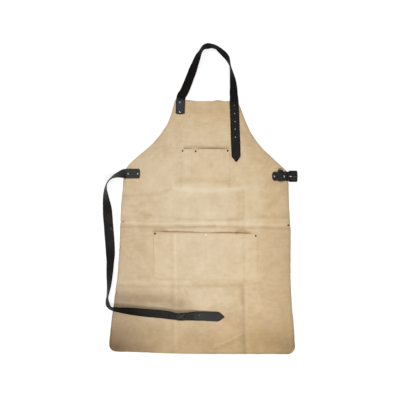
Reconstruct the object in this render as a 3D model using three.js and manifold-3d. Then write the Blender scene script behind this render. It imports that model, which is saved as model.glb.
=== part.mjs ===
// A leather blacksmith apron, laid out flat with its face up.
// Millimetres: X runs across the apron, Y from the hem up to the bib, +Z out of its face.
// Every leather piece is a closed wall of its own. Touching pieces keep a gap of GAP.
import * as THREE from "three";
import { mergeVertices } from "three/addons/utils/BufferGeometryUtils.js";
import Module from "manifold-3d";

const wasm = await Module();
wasm.setup();

// Leather and clearances
const LEATHER = 2;
const GAP = 0.3;

// The cut of the apron
const BIB_TOP_WIDTH = 222;
const ARMHOLE_DROP = 252;
const WAIST_WIDTH = 581;
const SKIRT_LENGTH = 650;
const HEM_WIDTH = 663;
const HEM_CORNER_RADIUS = 28;
const HEM_RISE = 9;
const BIB_EDGE_WAVE = 4;

// Folds left from packing
const FOLD_RISE = 2.4;
const FOLD_SPREAD = 12;
const FOLD_FADE = 20;

// Chest pocket
const CHEST_POCKET_WIDTH = 171;
const CHEST_POCKET_HEIGHT = 146;
const CHEST_POCKET_DROP = 174;
const CHEST_POCKET_ASIDE = 7.5;
const CHEST_POCKET_CORNER = 2;
const PEN_SLOT_WIDTH = 47;

// Lower pocket
const LOWER_POCKET_WIDTH = 369;
const LOWER_POCKET_HEIGHT = 168;
const LOWER_POCKET_BELOW_FOLD = 5.25;
const LOWER_POCKET_SHIFT = -3;
const LOWER_POCKET_SEAM = 187;
const LOWER_POCKET_TILT = THREE.MathUtils.degToRad(1);
const LOWER_POCKET_CORNER = 24;

// Both pockets
const POCKET_GAPE = 7.5;
const POCKET_MARGIN = 11;
const POCKET_RIVET_INSET = 5.8;
const POCKET_RIVET_DROP = 6.5;

// Neck and waist straps
const STRAP_WIDTH = 32;
const STRAP_THICKNESS = 2.8;
const STRAP_SETTLE = 0.1;
const NECK_PATCH_INSET = 1;
const NECK_PATCH_LENGTH = 51;
const NECK_TAIL_OVERHANG = 3;
const NECK_LOOP_RISE = 192;
const NECK_TAIL_LENGTH = 220;
const NECK_TAIL_DRIFT = 7.5;
const NECK_HOLES = 5;
const WAIST_STRAP_DROP = 9.5;
const WAIST_PATCH_LENGTH = 57;
const WAIST_STRAP_FALL = 479;
const WAIST_STRAP_STANDOFF = 60;
const WAIST_STRAP_REACH = 395;
const WAIST_STRAP_SAG = 30;
const WAIST_HOLES = 9;
const HOLE_RADIUS = 2.4;
const HOLE_PITCH = 27.7;
const HOLE_FROM_TIP = 88;

// Rivets
const RIVET_HEAD_RADIUS = 3.3;
const RIVET_HEAD_HEIGHT = 1.6;
const RIVET_SHANK_RADIUS = 1.5;
const RIVET_TAIL_RADIUS = 2.8;
const RIVET_TAIL_HEIGHT = 0.7;
const STRAP_RIVET_PITCH = 34;
const STRAP_RIVET_INSET = 8.5;
const EDGE_RIVET_INSET = 8;

// Buckle and its strap, measured from the axis of the heel bar
const BUCKLE_DROP = 19;
const BUCKLE_OUTSIDE = 2;
const BUCKLE_BAR_RADIUS = 2.1;
const BUCKLE_PITCH = 28.4;
const BUCKLE_WIDTH = 40.5;
const BUCKLE_CORNER_RADIUS = 3.4;
const BUCKLE_STRAP_WIDTH = 30.5;
const BUCKLE_STRAP_LENGTH = 59.6;
const BUCKLE_STRAP_END_BOW = 5.3;
const BUCKLE_RIVET_BACK = 16.8;
const BAR_CLEARANCE = 0.4;
const FOLD_SLOT_WIDTH = 6;
const FOLD_SLOT_BACK = 12;
const END_STEP_RUN = 6;
const GUARD_INNER = 20.8;
const GUARD_CORNER_RADIUS = 7;
const KEEPER_WIDTH = 16;
const KEEPER_BACK = 22.2;
const KEEPER_HEADROOM = 4.8;
const KEEPER_SIDE_PLAY = 1;
const KEEPER_STICK_OUT = 6;
const KEEPER_INNER_RADIUS = 0.8;
const KEEPER_END_ROOM = 2;
const TONGUE_WIDTH = 3.8;
const TONGUE_THICKNESS = 2;
const TONGUE_OVERHANG = 3;
const TONGUE_EYE_WALL = 1.7;
const TONGUE_NOSE = 0.3;

// Flat sides of round work, and steps of each quarter or half turn
const ROUND_SIDES = 10;
const BAR_SIDES = 8;
const HEM_CORNER_STEPS = 5;
const POCKET_CORNER_STEPS = 4;
const GUARD_CORNER_STEPS = 5;
const KEEPER_CORNER_STEPS = 3;
const FRAME_CORNER_STEPS = 4;
const FOLD_STEPS = 12;
const EYE_STEPS = 14;
const OUTLINE_STEPS = 20;

// The armholes from the bib's corners down to the waist: down is a share of the armhole's drop,
// left and right are shares of what the waist stands out beyond the bib on each side.
const ARMHOLE = [
  { down: 0, left: 0, right: 0 },
  { down: 0.15, left: 0.055, right: 0.085 },
  { down: 0.32, left: 0.14, right: 0.175 },
  { down: 0.49, left: 0.295, right: 0.29 },
  { down: 0.66, left: 0.51, right: 0.465 },
  { down: 0.83, left: 0.79, right: 0.715 },
  { down: 0.92, left: 0.92, right: 0.85 },
  { down: 1, left: 1, right: 0.97 },
];

// The skirt's sides from the waist to the hem: down is a share of the skirt's length,
// left and right are shares of what the hem stands out beyond the waist on each side.
const SKIRT_SIDE = [
  { down: 0, left: 0, right: -0.08 },
  { down: 0.06, left: 0.09, right: 0.02 },
  { down: 0.23, left: 0.31, right: 0.12 },
  { down: 0.36, left: 0.39, right: 0.23 },
  { down: 0.55, left: 0.57, right: 0.21 },
  { down: 0.72, left: 0.9, right: 0.32 },
  { down: 0.85, left: 1.16, right: 0.5 },
  { down: 1, left: 1.36, right: 0.64 },
];

// The hem from its left end to its right: rise is a share of HEM_RISE.
const HEM = [
  { across: 0, rise: 1 },
  { across: 0.14, rise: 0.75 },
  { across: 0.3, rise: 0.3 },
  { across: 0.5, rise: 0.06 },
  { across: 1, rise: 0 },
];

// The bib's top edge from left to right: dip is a share of BIB_EDGE_WAVE.
const BIB_EDGE = [
  { across: 0, dip: 0 },
  { across: 0.2, dip: 0.05 },
  { across: 0.36, dip: 0.95 },
  { across: 0.58, dip: 0.95 },
  { across: 0.68, dip: 0.2 },
  { across: 0.8, dip: 1 },
  { across: 1, dip: 1 },
];

// Folds that cross the apron: down is a share of the skirt's length, from and to are shares of
// the waist's width, rise of FOLD_RISE and spread of FOLD_SPREAD.
const CROSS_FOLDS = [
  { down: 0.095, from: 0.21, to: 0.74, rise: 1.1, spread: 1.7 },
  { down: 0.262, from: -0.2, to: 1.2, rise: 1, spread: 1 },
  { down: 0.315, from: -0.2, to: 1.2, rise: 0.8, spread: 0.75 },
  { down: 0.63, from: -0.2, to: 0.725, rise: 0.6, spread: 0.9 },
];

// Folds that run down the skirt: across is a share of the waist's width, from and to of the
// skirt's length.
const LENGTH_FOLDS = [
  { across: 0.324, from: 0.23, to: 1.2, rise: 0.5, spread: 0.9 },
  { across: 0.725, from: 0.08, to: 1.2, rise: 0.6, spread: 0.9 },
];

// How far a pocket's panel stands off the apron: across each compartment, as shares of its
// width inside the seams, and down from the mouth, as shares of the pocket's height.
const GAPE_ACROSS = [
  { at: 0, open: 0 },
  { at: 0.12, open: 0.62 },
  { at: 0.26, open: 0.95 },
  { at: 0.5, open: 1 },
  { at: 0.74, open: 0.95 },
  { at: 0.88, open: 0.62 },
  { at: 1, open: 0 },
];
const GAPE_DOWN = [
  { at: 0, open: 1 },
  { at: 0.3, open: 0.97 },
  { at: 0.55, open: 0.85 },
  { at: 0.76, open: 0.5 },
  { at: 0.92, open: 0 },
  { at: 1, open: 0 },
];

// The neck strap's loop, from the left patch round to the right side of the bib. across is a
// share of the distance between its two limbs, rise of NECK_LOOP_RISE above the bib's edge,
// and tilt is how far the strap stands up on its outer edge, in degrees.
const NECK_LOOP = [
  { across: 0.002, rise: 0, tilt: 4 },
  { across: 0.045, rise: 0.1, tilt: 24 },
  { across: 0.102, rise: 0.213, tilt: 28 },
  { across: 0.19, rise: 0.435, tilt: 32 },
  { across: 0.232, rise: 0.546, tilt: 41 },
  { across: 0.273, rise: 0.657, tilt: 48 },
  { across: 0.316, rise: 0.769, tilt: 57 },
  { across: 0.34, rise: 0.824, tilt: 64 },
  { across: 0.37, rise: 0.88, tilt: 74 },
  { across: 0.407, rise: 0.94, tilt: 78 },
  { across: 0.455, rise: 0.984, tilt: 66 },
  { across: 0.523, rise: 1, tilt: 56 },
  { across: 0.597, rise: 0.992, tilt: 65 },
  { across: 0.637, rise: 0.983, tilt: 70 },
  { across: 0.69, rise: 0.957, tilt: 66 },
  { across: 0.746, rise: 0.912, tilt: 59 },
  { across: 0.82, rise: 0.844, tilt: 57 },
  { across: 0.872, rise: 0.778, tilt: 65 },
  { across: 0.898, rise: 0.713, tilt: 77 },
  { across: 0.917, rise: 0.65, tilt: 88 },
  { across: 0.931, rise: 0.602, tilt: 90 },
  { across: 0.943, rise: 0.546, tilt: 83 },
  { across: 0.963, rise: 0.435, tilt: 67 },
  { across: 0.98, rise: 0.324, tilt: 54 },
  { across: 0.988, rise: 0.213, tilt: 44 },
  { across: 0.991, rise: 0.13, tilt: 38 },
  { across: 0.996, rise: 0.04, tilt: 28 },
  { across: 1, rise: -0.1, tilt: 5 },
];

// The waist strap beside the apron. out is a share of WAIST_STRAP_STANDOFF beyond the apron's
// edge at that height, and down of WAIST_STRAP_FALL below the strap's patch.
const WAIST_SIDE_RUN = [
  { out: 0, down: 0, tilt: 26 },
  { out: 0.29, down: 0.0085, tilt: 60 },
  { out: 0.51, down: 0.0185, tilt: 77 },
  { out: 0.72, down: 0.034, tilt: 88 },
  { out: 0.865, down: 0.053, tilt: 90 },
  { out: 0.96, down: 0.0765, tilt: 89 },
  { out: 1, down: 0.117, tilt: 77 },
  { out: 0.975, down: 0.14, tilt: 71 },
  { out: 0.94, down: 0.17, tilt: 60 },
  { out: 0.895, down: 0.2, tilt: 49 },
  { out: 0.805, down: 0.258, tilt: 27 },
  { out: 0.755, down: 0.318, tilt: 9 },
  { out: 0.705, down: 0.377, tilt: 13 },
  { out: 0.64, down: 0.436, tilt: 14 },
  { out: 0.575, down: 0.495, tilt: 17 },
  { out: 0.495, down: 0.58, tilt: 25 },
  { out: 0.475, down: 0.644, tilt: 40 },
  { out: 0.475, down: 0.703, tilt: 50 },
  { out: 0.465, down: 0.762, tilt: 55 },
  { out: 0.445, down: 0.82, tilt: 66 },
  { out: 0.43, down: 0.881, tilt: 83 },
  { out: 0.425, down: 0.91, tilt: 89 },
  { out: 0.41, down: 0.94, tilt: 83 },
  { out: 0.35, down: 0.97, tilt: 79 },
  { out: 0.25, down: 0.99, tilt: 82 },
  { out: 0.11, down: 0.999, tilt: 83 },
];

// The waist strap across the apron. along is a share of WAIST_STRAP_REACH in from the edge,
// and sag of WAIST_STRAP_SAG below the end of the side run.
const WAIST_FRONT_RUN = [
  { along: 0.02, sag: 0.07, tilt: 67 },
  { along: 0.057, sag: 0.125, tilt: 58 },
  { along: 0.13, sag: 0.225, tilt: 45 },
  { along: 0.27, sag: 0.44, tilt: 34 },
  { along: 0.415, sag: 0.64, tilt: 36 },
  { along: 0.49, sag: 0.76, tilt: 39 },
  { along: 0.56, sag: 0.905, tilt: 46 },
  { along: 0.6, sag: 0.935, tilt: 38 },
  { along: 0.668, sag: 0.89, tilt: 33 },
  { along: 0.74, sag: 0.875, tilt: 17 },
  { along: 0.81, sag: 0.9, tilt: 3 },
  { along: 0.883, sag: 0.935, tilt: 0 },
  { along: 1, sag: 1, tilt: 0 },
];

// A strap's two kinds of end: back is the distance from the end and wide the width there, both
// as shares of the strap's width.
const ROUND_END = [
  { back: 0, wide: 0.62 },
  { back: 0.035, wide: 0.8 },
  { back: 0.09, wide: 0.93 },
  { back: 0.17, wide: 1 },
];
const POINTED_END = [
  { back: 0, wide: 0.1 },
  { back: 0.05, wide: 0.24 },
  { back: 0.2, wide: 0.52 },
  { back: 0.42, wide: 0.82 },
  { back: 0.62, wide: 0.97 },
  { back: 0.75, wide: 1 },
];

// The folded buckle strap comes down from the top of its fold to lie on its lower leaf.
// back is a share of FOLD_SLOT_BACK behind the bar, high of the height that it comes down.
const FOLD_DESCENT = [
  { back: 0.22, high: 0.95 },
  { back: 0.48, high: 0.62 },
  { back: 0.76, high: 0.2 },
  { back: 1, high: 0 },
];

// A rivet's head from its rim to its middle: out is a share of its radius, high of its height.
const RIVET_DOME = [
  { out: 1, high: 0 },
  { out: 0.9, high: 0.5 },
  { out: 0.55, high: 0.9 },
  { out: 0, high: 1 },
];

const FINISHES = {
  suede: { color: 0xd6c19c, roughness: 0.95, metalness: 0 },
  pocketSuede: { color: 0xdcc8a3, roughness: 0.95, metalness: 0 },
  strapLeather: { color: 0x2e2b2a, roughness: 0.6, metalness: 0 },
  buckleLeather: { color: 0x262424, roughness: 0.65, metalness: 0 },
  blackSteel: { color: 0x1b1c1c, roughness: 0.4, metalness: 0.8 },
  nickel: { color: 0x9c9a96, roughness: 0.35, metalness: 0.9 },
  darkMetal: { color: 0x453d36, roughness: 0.45, metalness: 0.85 },
};

// Helpers for tables, solids and meshes

const GRID_WIDEST = 80;
const GRID_NARROWEST = 1;
const GRID_MARGIN = 50;
const TALL = 60;
const CUT_MARGIN = 1;

/** A table's column, read between its rows. */
function readTable(rows, key, value, at) {
  if (at <= rows[0][key]) return rows[0][value];
  for (let i = 1; i < rows.length; i++) {
    if (at <= rows[i][key]) {
      const share = (at - rows[i - 1][key]) / (rows[i][key] - rows[i - 1][key]);
      return THREE.MathUtils.lerp(rows[i - 1][value], rows[i][value], share);
    }
  }
  return rows[rows.length - 1][value];
}

/** A closed geometry as a solid for joining and cutting, turned outwards if it faces in. */
function solidOf(geometry) {
  const bare = geometry.clone();
  bare.deleteAttribute("normal");
  bare.deleteAttribute("uv");
  const merged = mergeVertices(bare, 1e-4);
  const triVerts = new Uint32Array(merged.index.array);
  const vertProperties = new Float32Array(merged.attributes.position.array);
  const solid = new wasm.Manifold(new wasm.Mesh({ numProp: 3, vertProperties, triVerts }));
  if (solid.volume() >= 0) return solid;
  for (let i = 0; i < triVerts.length; i += 3) {
    [triVerts[i + 1], triVerts[i + 2]] = [triVerts[i + 2], triVerts[i + 1]];
  }
  return new wasm.Manifold(new wasm.Mesh({ numProp: 3, vertProperties, triVerts }));
}

function geometryOf(solid) {
  const mesh = solid.getMesh();
  const geometry = new THREE.BufferGeometry();
  const position = new THREE.BufferAttribute(new Float32Array(mesh.vertProperties), 3);
  geometry.setAttribute("position", position);
  geometry.setIndex(new THREE.BufferAttribute(new Uint32Array(mesh.triVerts), 1));
  geometry.computeVertexNormals();
  return geometry;
}

function cutAll(solid, tools) {
  return tools.reduce((rest, tool) => rest.subtract(tool), solid);
}

function meshOf(name, geometry, finish) {
  const mesh = new THREE.Mesh(geometry, new THREE.MeshStandardMaterial(FINISHES[finish]));
  mesh.name = name;
  return mesh;
}

/** A closed solid through rings of equally many points, with flat caps at both ends. */
function skinRings(rings, closed = false) {
  const sides = rings[0].length;
  const positions = rings.flat().flatMap((p) => [p.x, p.y, p.z]);
  const index = [];
  const spans = closed ? rings.length : rings.length - 1;
  for (let r = 0; r < spans; r++) {
    const next = (r + 1) % rings.length;
    for (let s = 0; s < sides; s++) {
      const t = (s + 1) % sides;
      const [a, b] = [r * sides + s, r * sides + t];
      const [c, d] = [next * sides + t, next * sides + s];
      index.push(a, b, c, a, c, d);
    }
  }
  if (!closed) {
    const last = (rings.length - 1) * sides;
    for (let s = 1; s < sides - 1; s++) {
      index.push(0, s + 1, s);
      index.push(last, last + s, last + s + 1);
    }
  }
  const geometry = new THREE.BufferGeometry();
  geometry.setAttribute("position", new THREE.Float32BufferAttribute(positions, 3));
  geometry.setIndex(index);
  return geometry;
}

/** A wall of even thickness over a grid of lines, whose underside lies at underAt(x, y). */
function gridWall(xs, ys, underAt, shearOf = () => 0) {
  const positions = [];
  const index = [];
  const row = xs.length;
  const layer = xs.length * ys.length;
  for (const lift of [0, LEATHER]) {
    for (const y of ys) {
      for (const x of xs) positions.push(x, y + shearOf(x), underAt(x, y) + lift);
    }
  }
  for (let j = 0; j < ys.length - 1; j++) {
    for (let i = 0; i < xs.length - 1; i++) {
      const a = j * row + i;
      const [b, c, d] = [a + 1, a + row + 1, a + row];
      index.push(a, c, b, a, d, c);
      index.push(layer + a, layer + b, layer + c, layer + a, layer + c, layer + d);
    }
  }
  const rim = [];
  for (let i = 0; i < row - 1; i++) rim.push(i);
  for (let j = 0; j < ys.length - 1; j++) rim.push(j * row + row - 1);
  for (let i = row - 1; i > 0; i--) rim.push(layer - row + i);
  for (let j = ys.length - 1; j > 0; j--) rim.push(j * row);
  rim.forEach((a, k) => {
    const b = rim[(k + 1) % rim.length];
    index.push(a, b, layer + b, a, layer + b, layer + a);
  });
  const geometry = new THREE.BufferGeometry();
  geometry.setAttribute("position", new THREE.Float32BufferAttribute(positions, 3));
  geometry.setIndex(index);
  return geometry;
}

/** Grid lines through the given places, with wide spaces divided evenly. */
function gridLines(places, widest) {
  const sorted = [...places].sort((a, b) => a - b);
  const lines = [sorted[0]];
  for (const place of sorted.slice(1)) {
    const last = lines[lines.length - 1];
    const space = place - last;
    if (space < GRID_NARROWEST) continue;
    const parts = Math.ceil(space / widest);
    for (let k = 1; k <= parts; k++) lines.push(last + (space * k) / parts);
  }
  return lines;
}

/** An upright cutter with the given plan outline. */
function upright(shape, from, to) {
  const geometry = new THREE.ExtrudeGeometry(shape, { depth: to - from, bevelEnabled: false });
  return solidOf(geometry.translate(0, 0, from));
}

/** A round cutter whose flats clear the radius, along +Z about (x, y). */
function roundCutter(x, y, radius, from, to) {
  const outer = radius / Math.cos(Math.PI / ROUND_SIDES);
  const geometry = new THREE.CylinderGeometry(outer, outer, to - from, ROUND_SIDES);
  geometry.rotateX(Math.PI / 2);
  return solidOf(geometry.translate(x, y, (from + to) / 2));
}

// The apron's outline

const BIB_TOP = SKIRT_LENGTH + ARMHOLE_DROP;
const BIB_LEFT = -BIB_TOP_WIDTH / 2;

/** The side's distance from the centre line at height y, on the given side ("left" or "right"). */
function sideAt(y, side) {
  if (y > SKIRT_LENGTH) {
    const out = readTable(ARMHOLE, "down", side, (BIB_TOP - y) / ARMHOLE_DROP);
    return BIB_TOP_WIDTH / 2 + (out * (WAIST_WIDTH - BIB_TOP_WIDTH)) / 2;
  }
  const out = readTable(SKIRT_SIDE, "down", side, (SKIRT_LENGTH - y) / SKIRT_LENGTH);
  return WAIST_WIDTH / 2 + (out * (HEM_WIDTH - WAIST_WIDTH)) / 2;
}

/** One side of the outline from the bib's corner down to the top of the hem's corner. */
function sidePoints(side) {
  const sign = side === "left" ? -1 : 1;
  const hemCornerTop = HEM_CORNER_RADIUS + hemRiseAt(side === "left" ? 0 : 1);
  const armhole = ARMHOLE.map((row) => {
    const y = BIB_TOP - row.down * ARMHOLE_DROP;
    return new THREE.Vector2(
      sign * (BIB_TOP_WIDTH / 2 + (row[side] * (WAIST_WIDTH - BIB_TOP_WIDTH)) / 2),
      y,
    );
  });
  if (side === "right") armhole[0].y -= BIB_EDGE_WAVE;
  const skirt = SKIRT_SIDE.slice(1)
    .map((row) => SKIRT_LENGTH * (1 - row.down))
    .filter((y) => y > hemCornerTop);
  const below = [...skirt, hemCornerTop].map((y) => new THREE.Vector2(sign * sideAt(y, side), y));
  return [...new THREE.SplineCurve(armhole).getPoints(OUTLINE_STEPS), ...below];
}

function hemRiseAt(across) {
  return HEM_RISE * readTable(HEM, "across", "rise", across);
}

/** The whole outline, anticlockwise from the bib's left corner. */
function apronOutline() {
  const left = sidePoints("left");
  const right = sidePoints("right");
  const bottomLeft = left[left.length - 1];
  const bottomRight = right[right.length - 1];
  const corner = (end, sign) => {
    const arc = new THREE.EllipseCurve(
      end.x - sign * HEM_CORNER_RADIUS,
      end.y,
      HEM_CORNER_RADIUS,
      HEM_CORNER_RADIUS,
      sign > 0 ? 0 : Math.PI,
      sign > 0 ? -Math.PI / 2 : 1.5 * Math.PI,
      sign > 0,
    );
    return arc.getPoints(HEM_CORNER_STEPS).slice(1);
  };
  const width = bottomRight.x - bottomLeft.x;
  const hem = HEM.slice(1, -1).map(
    (row) => new THREE.Vector2(bottomLeft.x + row.across * width, HEM_RISE * row.rise),
  );
  const top = BIB_EDGE.slice(1, -1)
    .map((row) => new THREE.Vector2(
      BIB_LEFT + row.across * BIB_TOP_WIDTH,
      BIB_TOP - row.dip * BIB_EDGE_WAVE,
    ))
    .reverse();
  return [
    ...left,
    ...corner(bottomLeft, -1),
    ...hem,
    ...corner(bottomRight, 1).reverse(),
    ...right.reverse(),
    ...top,
  ];
}

// The apron's folded surface

const foldAcross = (share) => (share - 0.5) * WAIST_WIDTH;
const foldDown = (share) => SKIRT_LENGTH * (1 - share);
const [, FOLD_BELOW_WAIST, FOLD_OVER_POCKET] = CROSS_FOLDS;

/** Where a cross fold starts to rise, above its ridge (side 1) or below it (side -1). */
function foldFoot(fold, side) {
  return foldDown(fold.down) + side * fold.spread * FOLD_SPREAD;
}

/** A tent with its ridge at centre. */
function tent(at, centre, spread) {
  return Math.max(0, 1 - Math.abs(at - centre) / spread);
}

/** 1 between from and to, fading to 0 over FOLD_FADE inside each end. */
function faded(at, from, to) {
  return THREE.MathUtils.clamp(Math.min(at - from, to - at) / FOLD_FADE, 0, 1);
}

/** How far the folds lift the apron off the ground. */
function reliefAt(x, y) {
  const across = CROSS_FOLDS.map(
    (fold) =>
      fold.rise *
      tent(y, foldDown(fold.down), fold.spread * FOLD_SPREAD) *
      faded(x, foldAcross(fold.from), foldAcross(fold.to)),
  );
  const along = LENGTH_FOLDS.map(
    (fold) =>
      fold.rise *
      tent(x, foldAcross(fold.across), fold.spread * FOLD_SPREAD) *
      faded(y, foldDown(fold.to), foldDown(fold.from)),
  );
  return FOLD_RISE * Math.max(...across, ...along);
}

const overTent = (centre, spread) => [centre - spread, centre, centre + spread];
const overFade = (from, to) => [from, from + FOLD_FADE, to - FOLD_FADE, to];

/** Grid lines that follow every ridge, foot and fading end of the folds between two limits. */
function foldLinesX(from, to, more = []) {
  const places = [
    ...LENGTH_FOLDS.flatMap((f) => overTent(foldAcross(f.across), f.spread * FOLD_SPREAD)),
    ...CROSS_FOLDS.flatMap((f) => overFade(foldAcross(f.from), foldAcross(f.to))),
  ].filter((x) => x > from && x < to);
  return gridLines([from, to, ...places, ...more], GRID_WIDEST);
}

function foldLinesY(from, to, more = []) {
  const places = [
    ...CROSS_FOLDS.flatMap((f) => overTent(foldDown(f.down), f.spread * FOLD_SPREAD)),
    ...LENGTH_FOLDS.flatMap((f) => overFade(foldDown(f.to), foldDown(f.from))),
  ].filter((y) => y > from && y < to);
  return gridLines([from, to, ...places, ...more], GRID_WIDEST);
}

const OUTLINE = apronOutline();

/** Whether a place in plan lies over the apron. */
function overApron(x, y) {
  let inside = false;
  OUTLINE.forEach((a, i) => {
    const b = OUTLINE[(i + 1) % OUTLINE.length];
    const crosses = a.y > y !== b.y > y && x < a.x + ((y - a.y) * (b.x - a.x)) / (b.y - a.y);
    if (crosses) inside = !inside;
  });
  return inside;
}

// Pockets: each is a panel seated on the apron at its seams and standing off it between them

const NECK_LEFT = BIB_LEFT + NECK_PATCH_INSET + STRAP_WIDTH / 2;
const NECK_RIGHT = BIB_TOP_WIDTH / 2 + NECK_TAIL_OVERHANG - STRAP_WIDTH / 2;
const NECK_TAIL_INNER = NECK_RIGHT + NECK_TAIL_DRIFT - STRAP_WIDTH / 2;
const CHEST_POCKET_RIGHT = NECK_TAIL_INNER - CHEST_POCKET_ASIDE;

const CHEST_POCKET = {
  left: CHEST_POCKET_RIGHT - CHEST_POCKET_WIDTH,
  right: CHEST_POCKET_RIGHT,
  top: BIB_TOP - CHEST_POCKET_DROP,
  bottom: BIB_TOP - CHEST_POCKET_DROP - CHEST_POCKET_HEIGHT,
  seam: CHEST_POCKET_RIGHT - CHEST_POCKET_WIDTH + PEN_SLOT_WIDTH,
  slope: 0,
  corner: CHEST_POCKET_CORNER,
};
const LOWER_POCKET_LEFT = LOWER_POCKET_SHIFT - LOWER_POCKET_WIDTH / 2;
const LOWER_POCKET_TOP = foldFoot(FOLD_OVER_POCKET, -1) - LOWER_POCKET_BELOW_FOLD;
const LOWER_POCKET = {
  left: LOWER_POCKET_LEFT,
  right: LOWER_POCKET_LEFT + LOWER_POCKET_WIDTH,
  top: LOWER_POCKET_TOP,
  bottom: LOWER_POCKET_TOP - LOWER_POCKET_HEIGHT,
  seam: LOWER_POCKET_LEFT + LOWER_POCKET_SEAM,
  slope: Math.tan(LOWER_POCKET_TILT),
  corner: LOWER_POCKET_CORNER,
};

/** The two compartments of a pocket, between the inner edges of its seams. */
function compartments(pocket) {
  return [
    [pocket.left + POCKET_MARGIN, pocket.seam - POCKET_MARGIN],
    [pocket.seam + POCKET_MARGIN, pocket.right - POCKET_MARGIN],
  ];
}

const shearOf = (pocket) => (x) => -(x - (pocket.left + pocket.right) / 2) * pocket.slope;

/** How far the panel's underside stands off the apron, at a place given before the slope. */
function gapeAt(pocket, x, y) {
  const down = (pocket.top - y) / (pocket.top - pocket.bottom);
  const room = compartments(pocket).find(([from, to]) => x > from && x < to);
  if (!room) return 0;
  const across = (x - room[0]) / (room[1] - room[0]);
  return (
    POCKET_GAPE *
    readTable(GAPE_ACROSS, "at", "open", across) *
    readTable(GAPE_DOWN, "at", "open", down)
  );
}

function panelUnderAt(pocket, x, y) {
  return reliefAt(x, y) + LEATHER + GAP + gapeAt(pocket, x, y);
}

/** The highest leather at a place: the ground, the apron's face or a pocket's panel. */
function groundAt(x, y) {
  if (!overApron(x, y)) return 0;
  const pocket = [CHEST_POCKET, LOWER_POCKET].find((p) => {
    const flat = y - shearOf(p)(x);
    return x > p.left && x < p.right && flat > p.bottom && flat < p.top;
  });
  if (!pocket) return reliefAt(x, y) + LEATHER + GAP;
  return panelUnderAt(pocket, x, y - shearOf(pocket)(x)) + LEATHER + GAP;
}

function pocketOutline(pocket) {
  const shear = shearOf(pocket);
  const { left, right, top, bottom, corner } = pocket;
  const arc = (x, y, from) =>
    new THREE.EllipseCurve(x, y, corner, corner, from, from + Math.PI / 2).getPoints(POCKET_CORNER_STEPS);
  const points = [
    new THREE.Vector2(left, top),
    ...arc(left + corner, bottom + corner, Math.PI),
    ...arc(right - corner, bottom + corner, 1.5 * Math.PI),
    new THREE.Vector2(right, top),
  ];
  return new THREE.Shape(points.map((p) => new THREE.Vector2(p.x, p.y + shear(p.x))));
}

function pocketPanel(pocket, rivets) {
  const { left, right, top, bottom } = pocket;
  const xs = foldLinesX(
    left - CUT_MARGIN,
    right + CUT_MARGIN,
    compartments(pocket).flatMap(([from, to]) =>
      GAPE_ACROSS.map((row) => from + row.at * (to - from)),
    ),
  );
  const ys = foldLinesY(
    bottom - CUT_MARGIN,
    top + CUT_MARGIN,
    GAPE_DOWN.slice(1, -1).map((row) => top - row.at * (top - bottom)),
  );
  const sheet = gridWall(xs, ys, (x, y) => panelUnderAt(pocket, x, y), shearOf(pocket));
  const cut = solidOf(sheet).intersect(upright(pocketOutline(pocket), -CUT_MARGIN, TALL));
  return geometryOf(cutAll(cut, rivets.map(shankCutter)));
}

// Rivets: a domed head on top, a shank through the leather and a tail let into the underside

const RIVET_TAIL_SINK = 0.2;

function shankCutter(rivet) {
  return roundCutter(rivet.x, rivet.y, RIVET_SHANK_RADIUS + GAP, -CUT_MARGIN, TALL);
}

/** Room for a rivet's tail in the underside of the apron. */
function tailCutter(rivet) {
  const top = RIVET_TAIL_SINK + RIVET_TAIL_HEIGHT + GAP;
  return roundCutter(rivet.x, rivet.y, RIVET_TAIL_RADIUS + GAP, -CUT_MARGIN, top);
}

/** A rivet about the Z axis, whose head sits on leather with its top at seat. */
function rivetGeometry(seat) {
  const under = seat + GAP;
  const tailTop = RIVET_TAIL_SINK + RIVET_TAIL_HEIGHT;
  const profile = [
    [0, RIVET_TAIL_SINK],
    [RIVET_TAIL_RADIUS, RIVET_TAIL_SINK],
    [RIVET_TAIL_RADIUS, tailTop],
    [RIVET_SHANK_RADIUS, tailTop],
    [RIVET_SHANK_RADIUS, under],
    ...RIVET_DOME.map((row) => [row.out * RIVET_HEAD_RADIUS, under + row.high * RIVET_HEAD_HEIGHT]),
  ];
  const points = profile.map(([radius, z]) => new THREE.Vector2(radius, z));
  const lathe = new THREE.LatheGeometry(points, ROUND_SIDES).rotateX(Math.PI / 2);
  return geometryOf(solidOf(lathe));
}

function rivetMesh(rivet) {
  const mesh = meshOf(rivet.name, rivetGeometry(rivet.seat), rivet.finish ?? "nickel");
  mesh.position.set(rivet.x, rivet.y, 0);
  return mesh;
}

/** The rivets at a pocket's mouth: a dark one at each corner, and one on its seam. */
function pocketRivets(name, pocket, seamFinish) {
  const places = [
    ["left", pocket.left + POCKET_RIVET_INSET, "darkMetal"],
    ["middle", pocket.seam, seamFinish],
    ["right", pocket.right - POCKET_RIVET_INSET, "darkMetal"],
  ];
  return places.map(([where, x, finish]) => ({
    name: `${name}_rivet_${where}`,
    finish,
    x,
    y: pocket.top - POCKET_RIVET_DROP + shearOf(pocket)(x),
    seat: 2 * LEATHER + GAP,
  }));
}

// Straps: ribbons of even width that lie flat, or stand up on their outer edge where they turn

const ROUTE_SAMPLES = 900;
const ACROSS_SAMPLES = 10;
const MIN_STEP = 2;
const MAX_STEP = 17;
const MAX_TURN = 0.2;
const MAX_CLIMB = 0.3;
const TILT_WEIGHT = 0.5;

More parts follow.
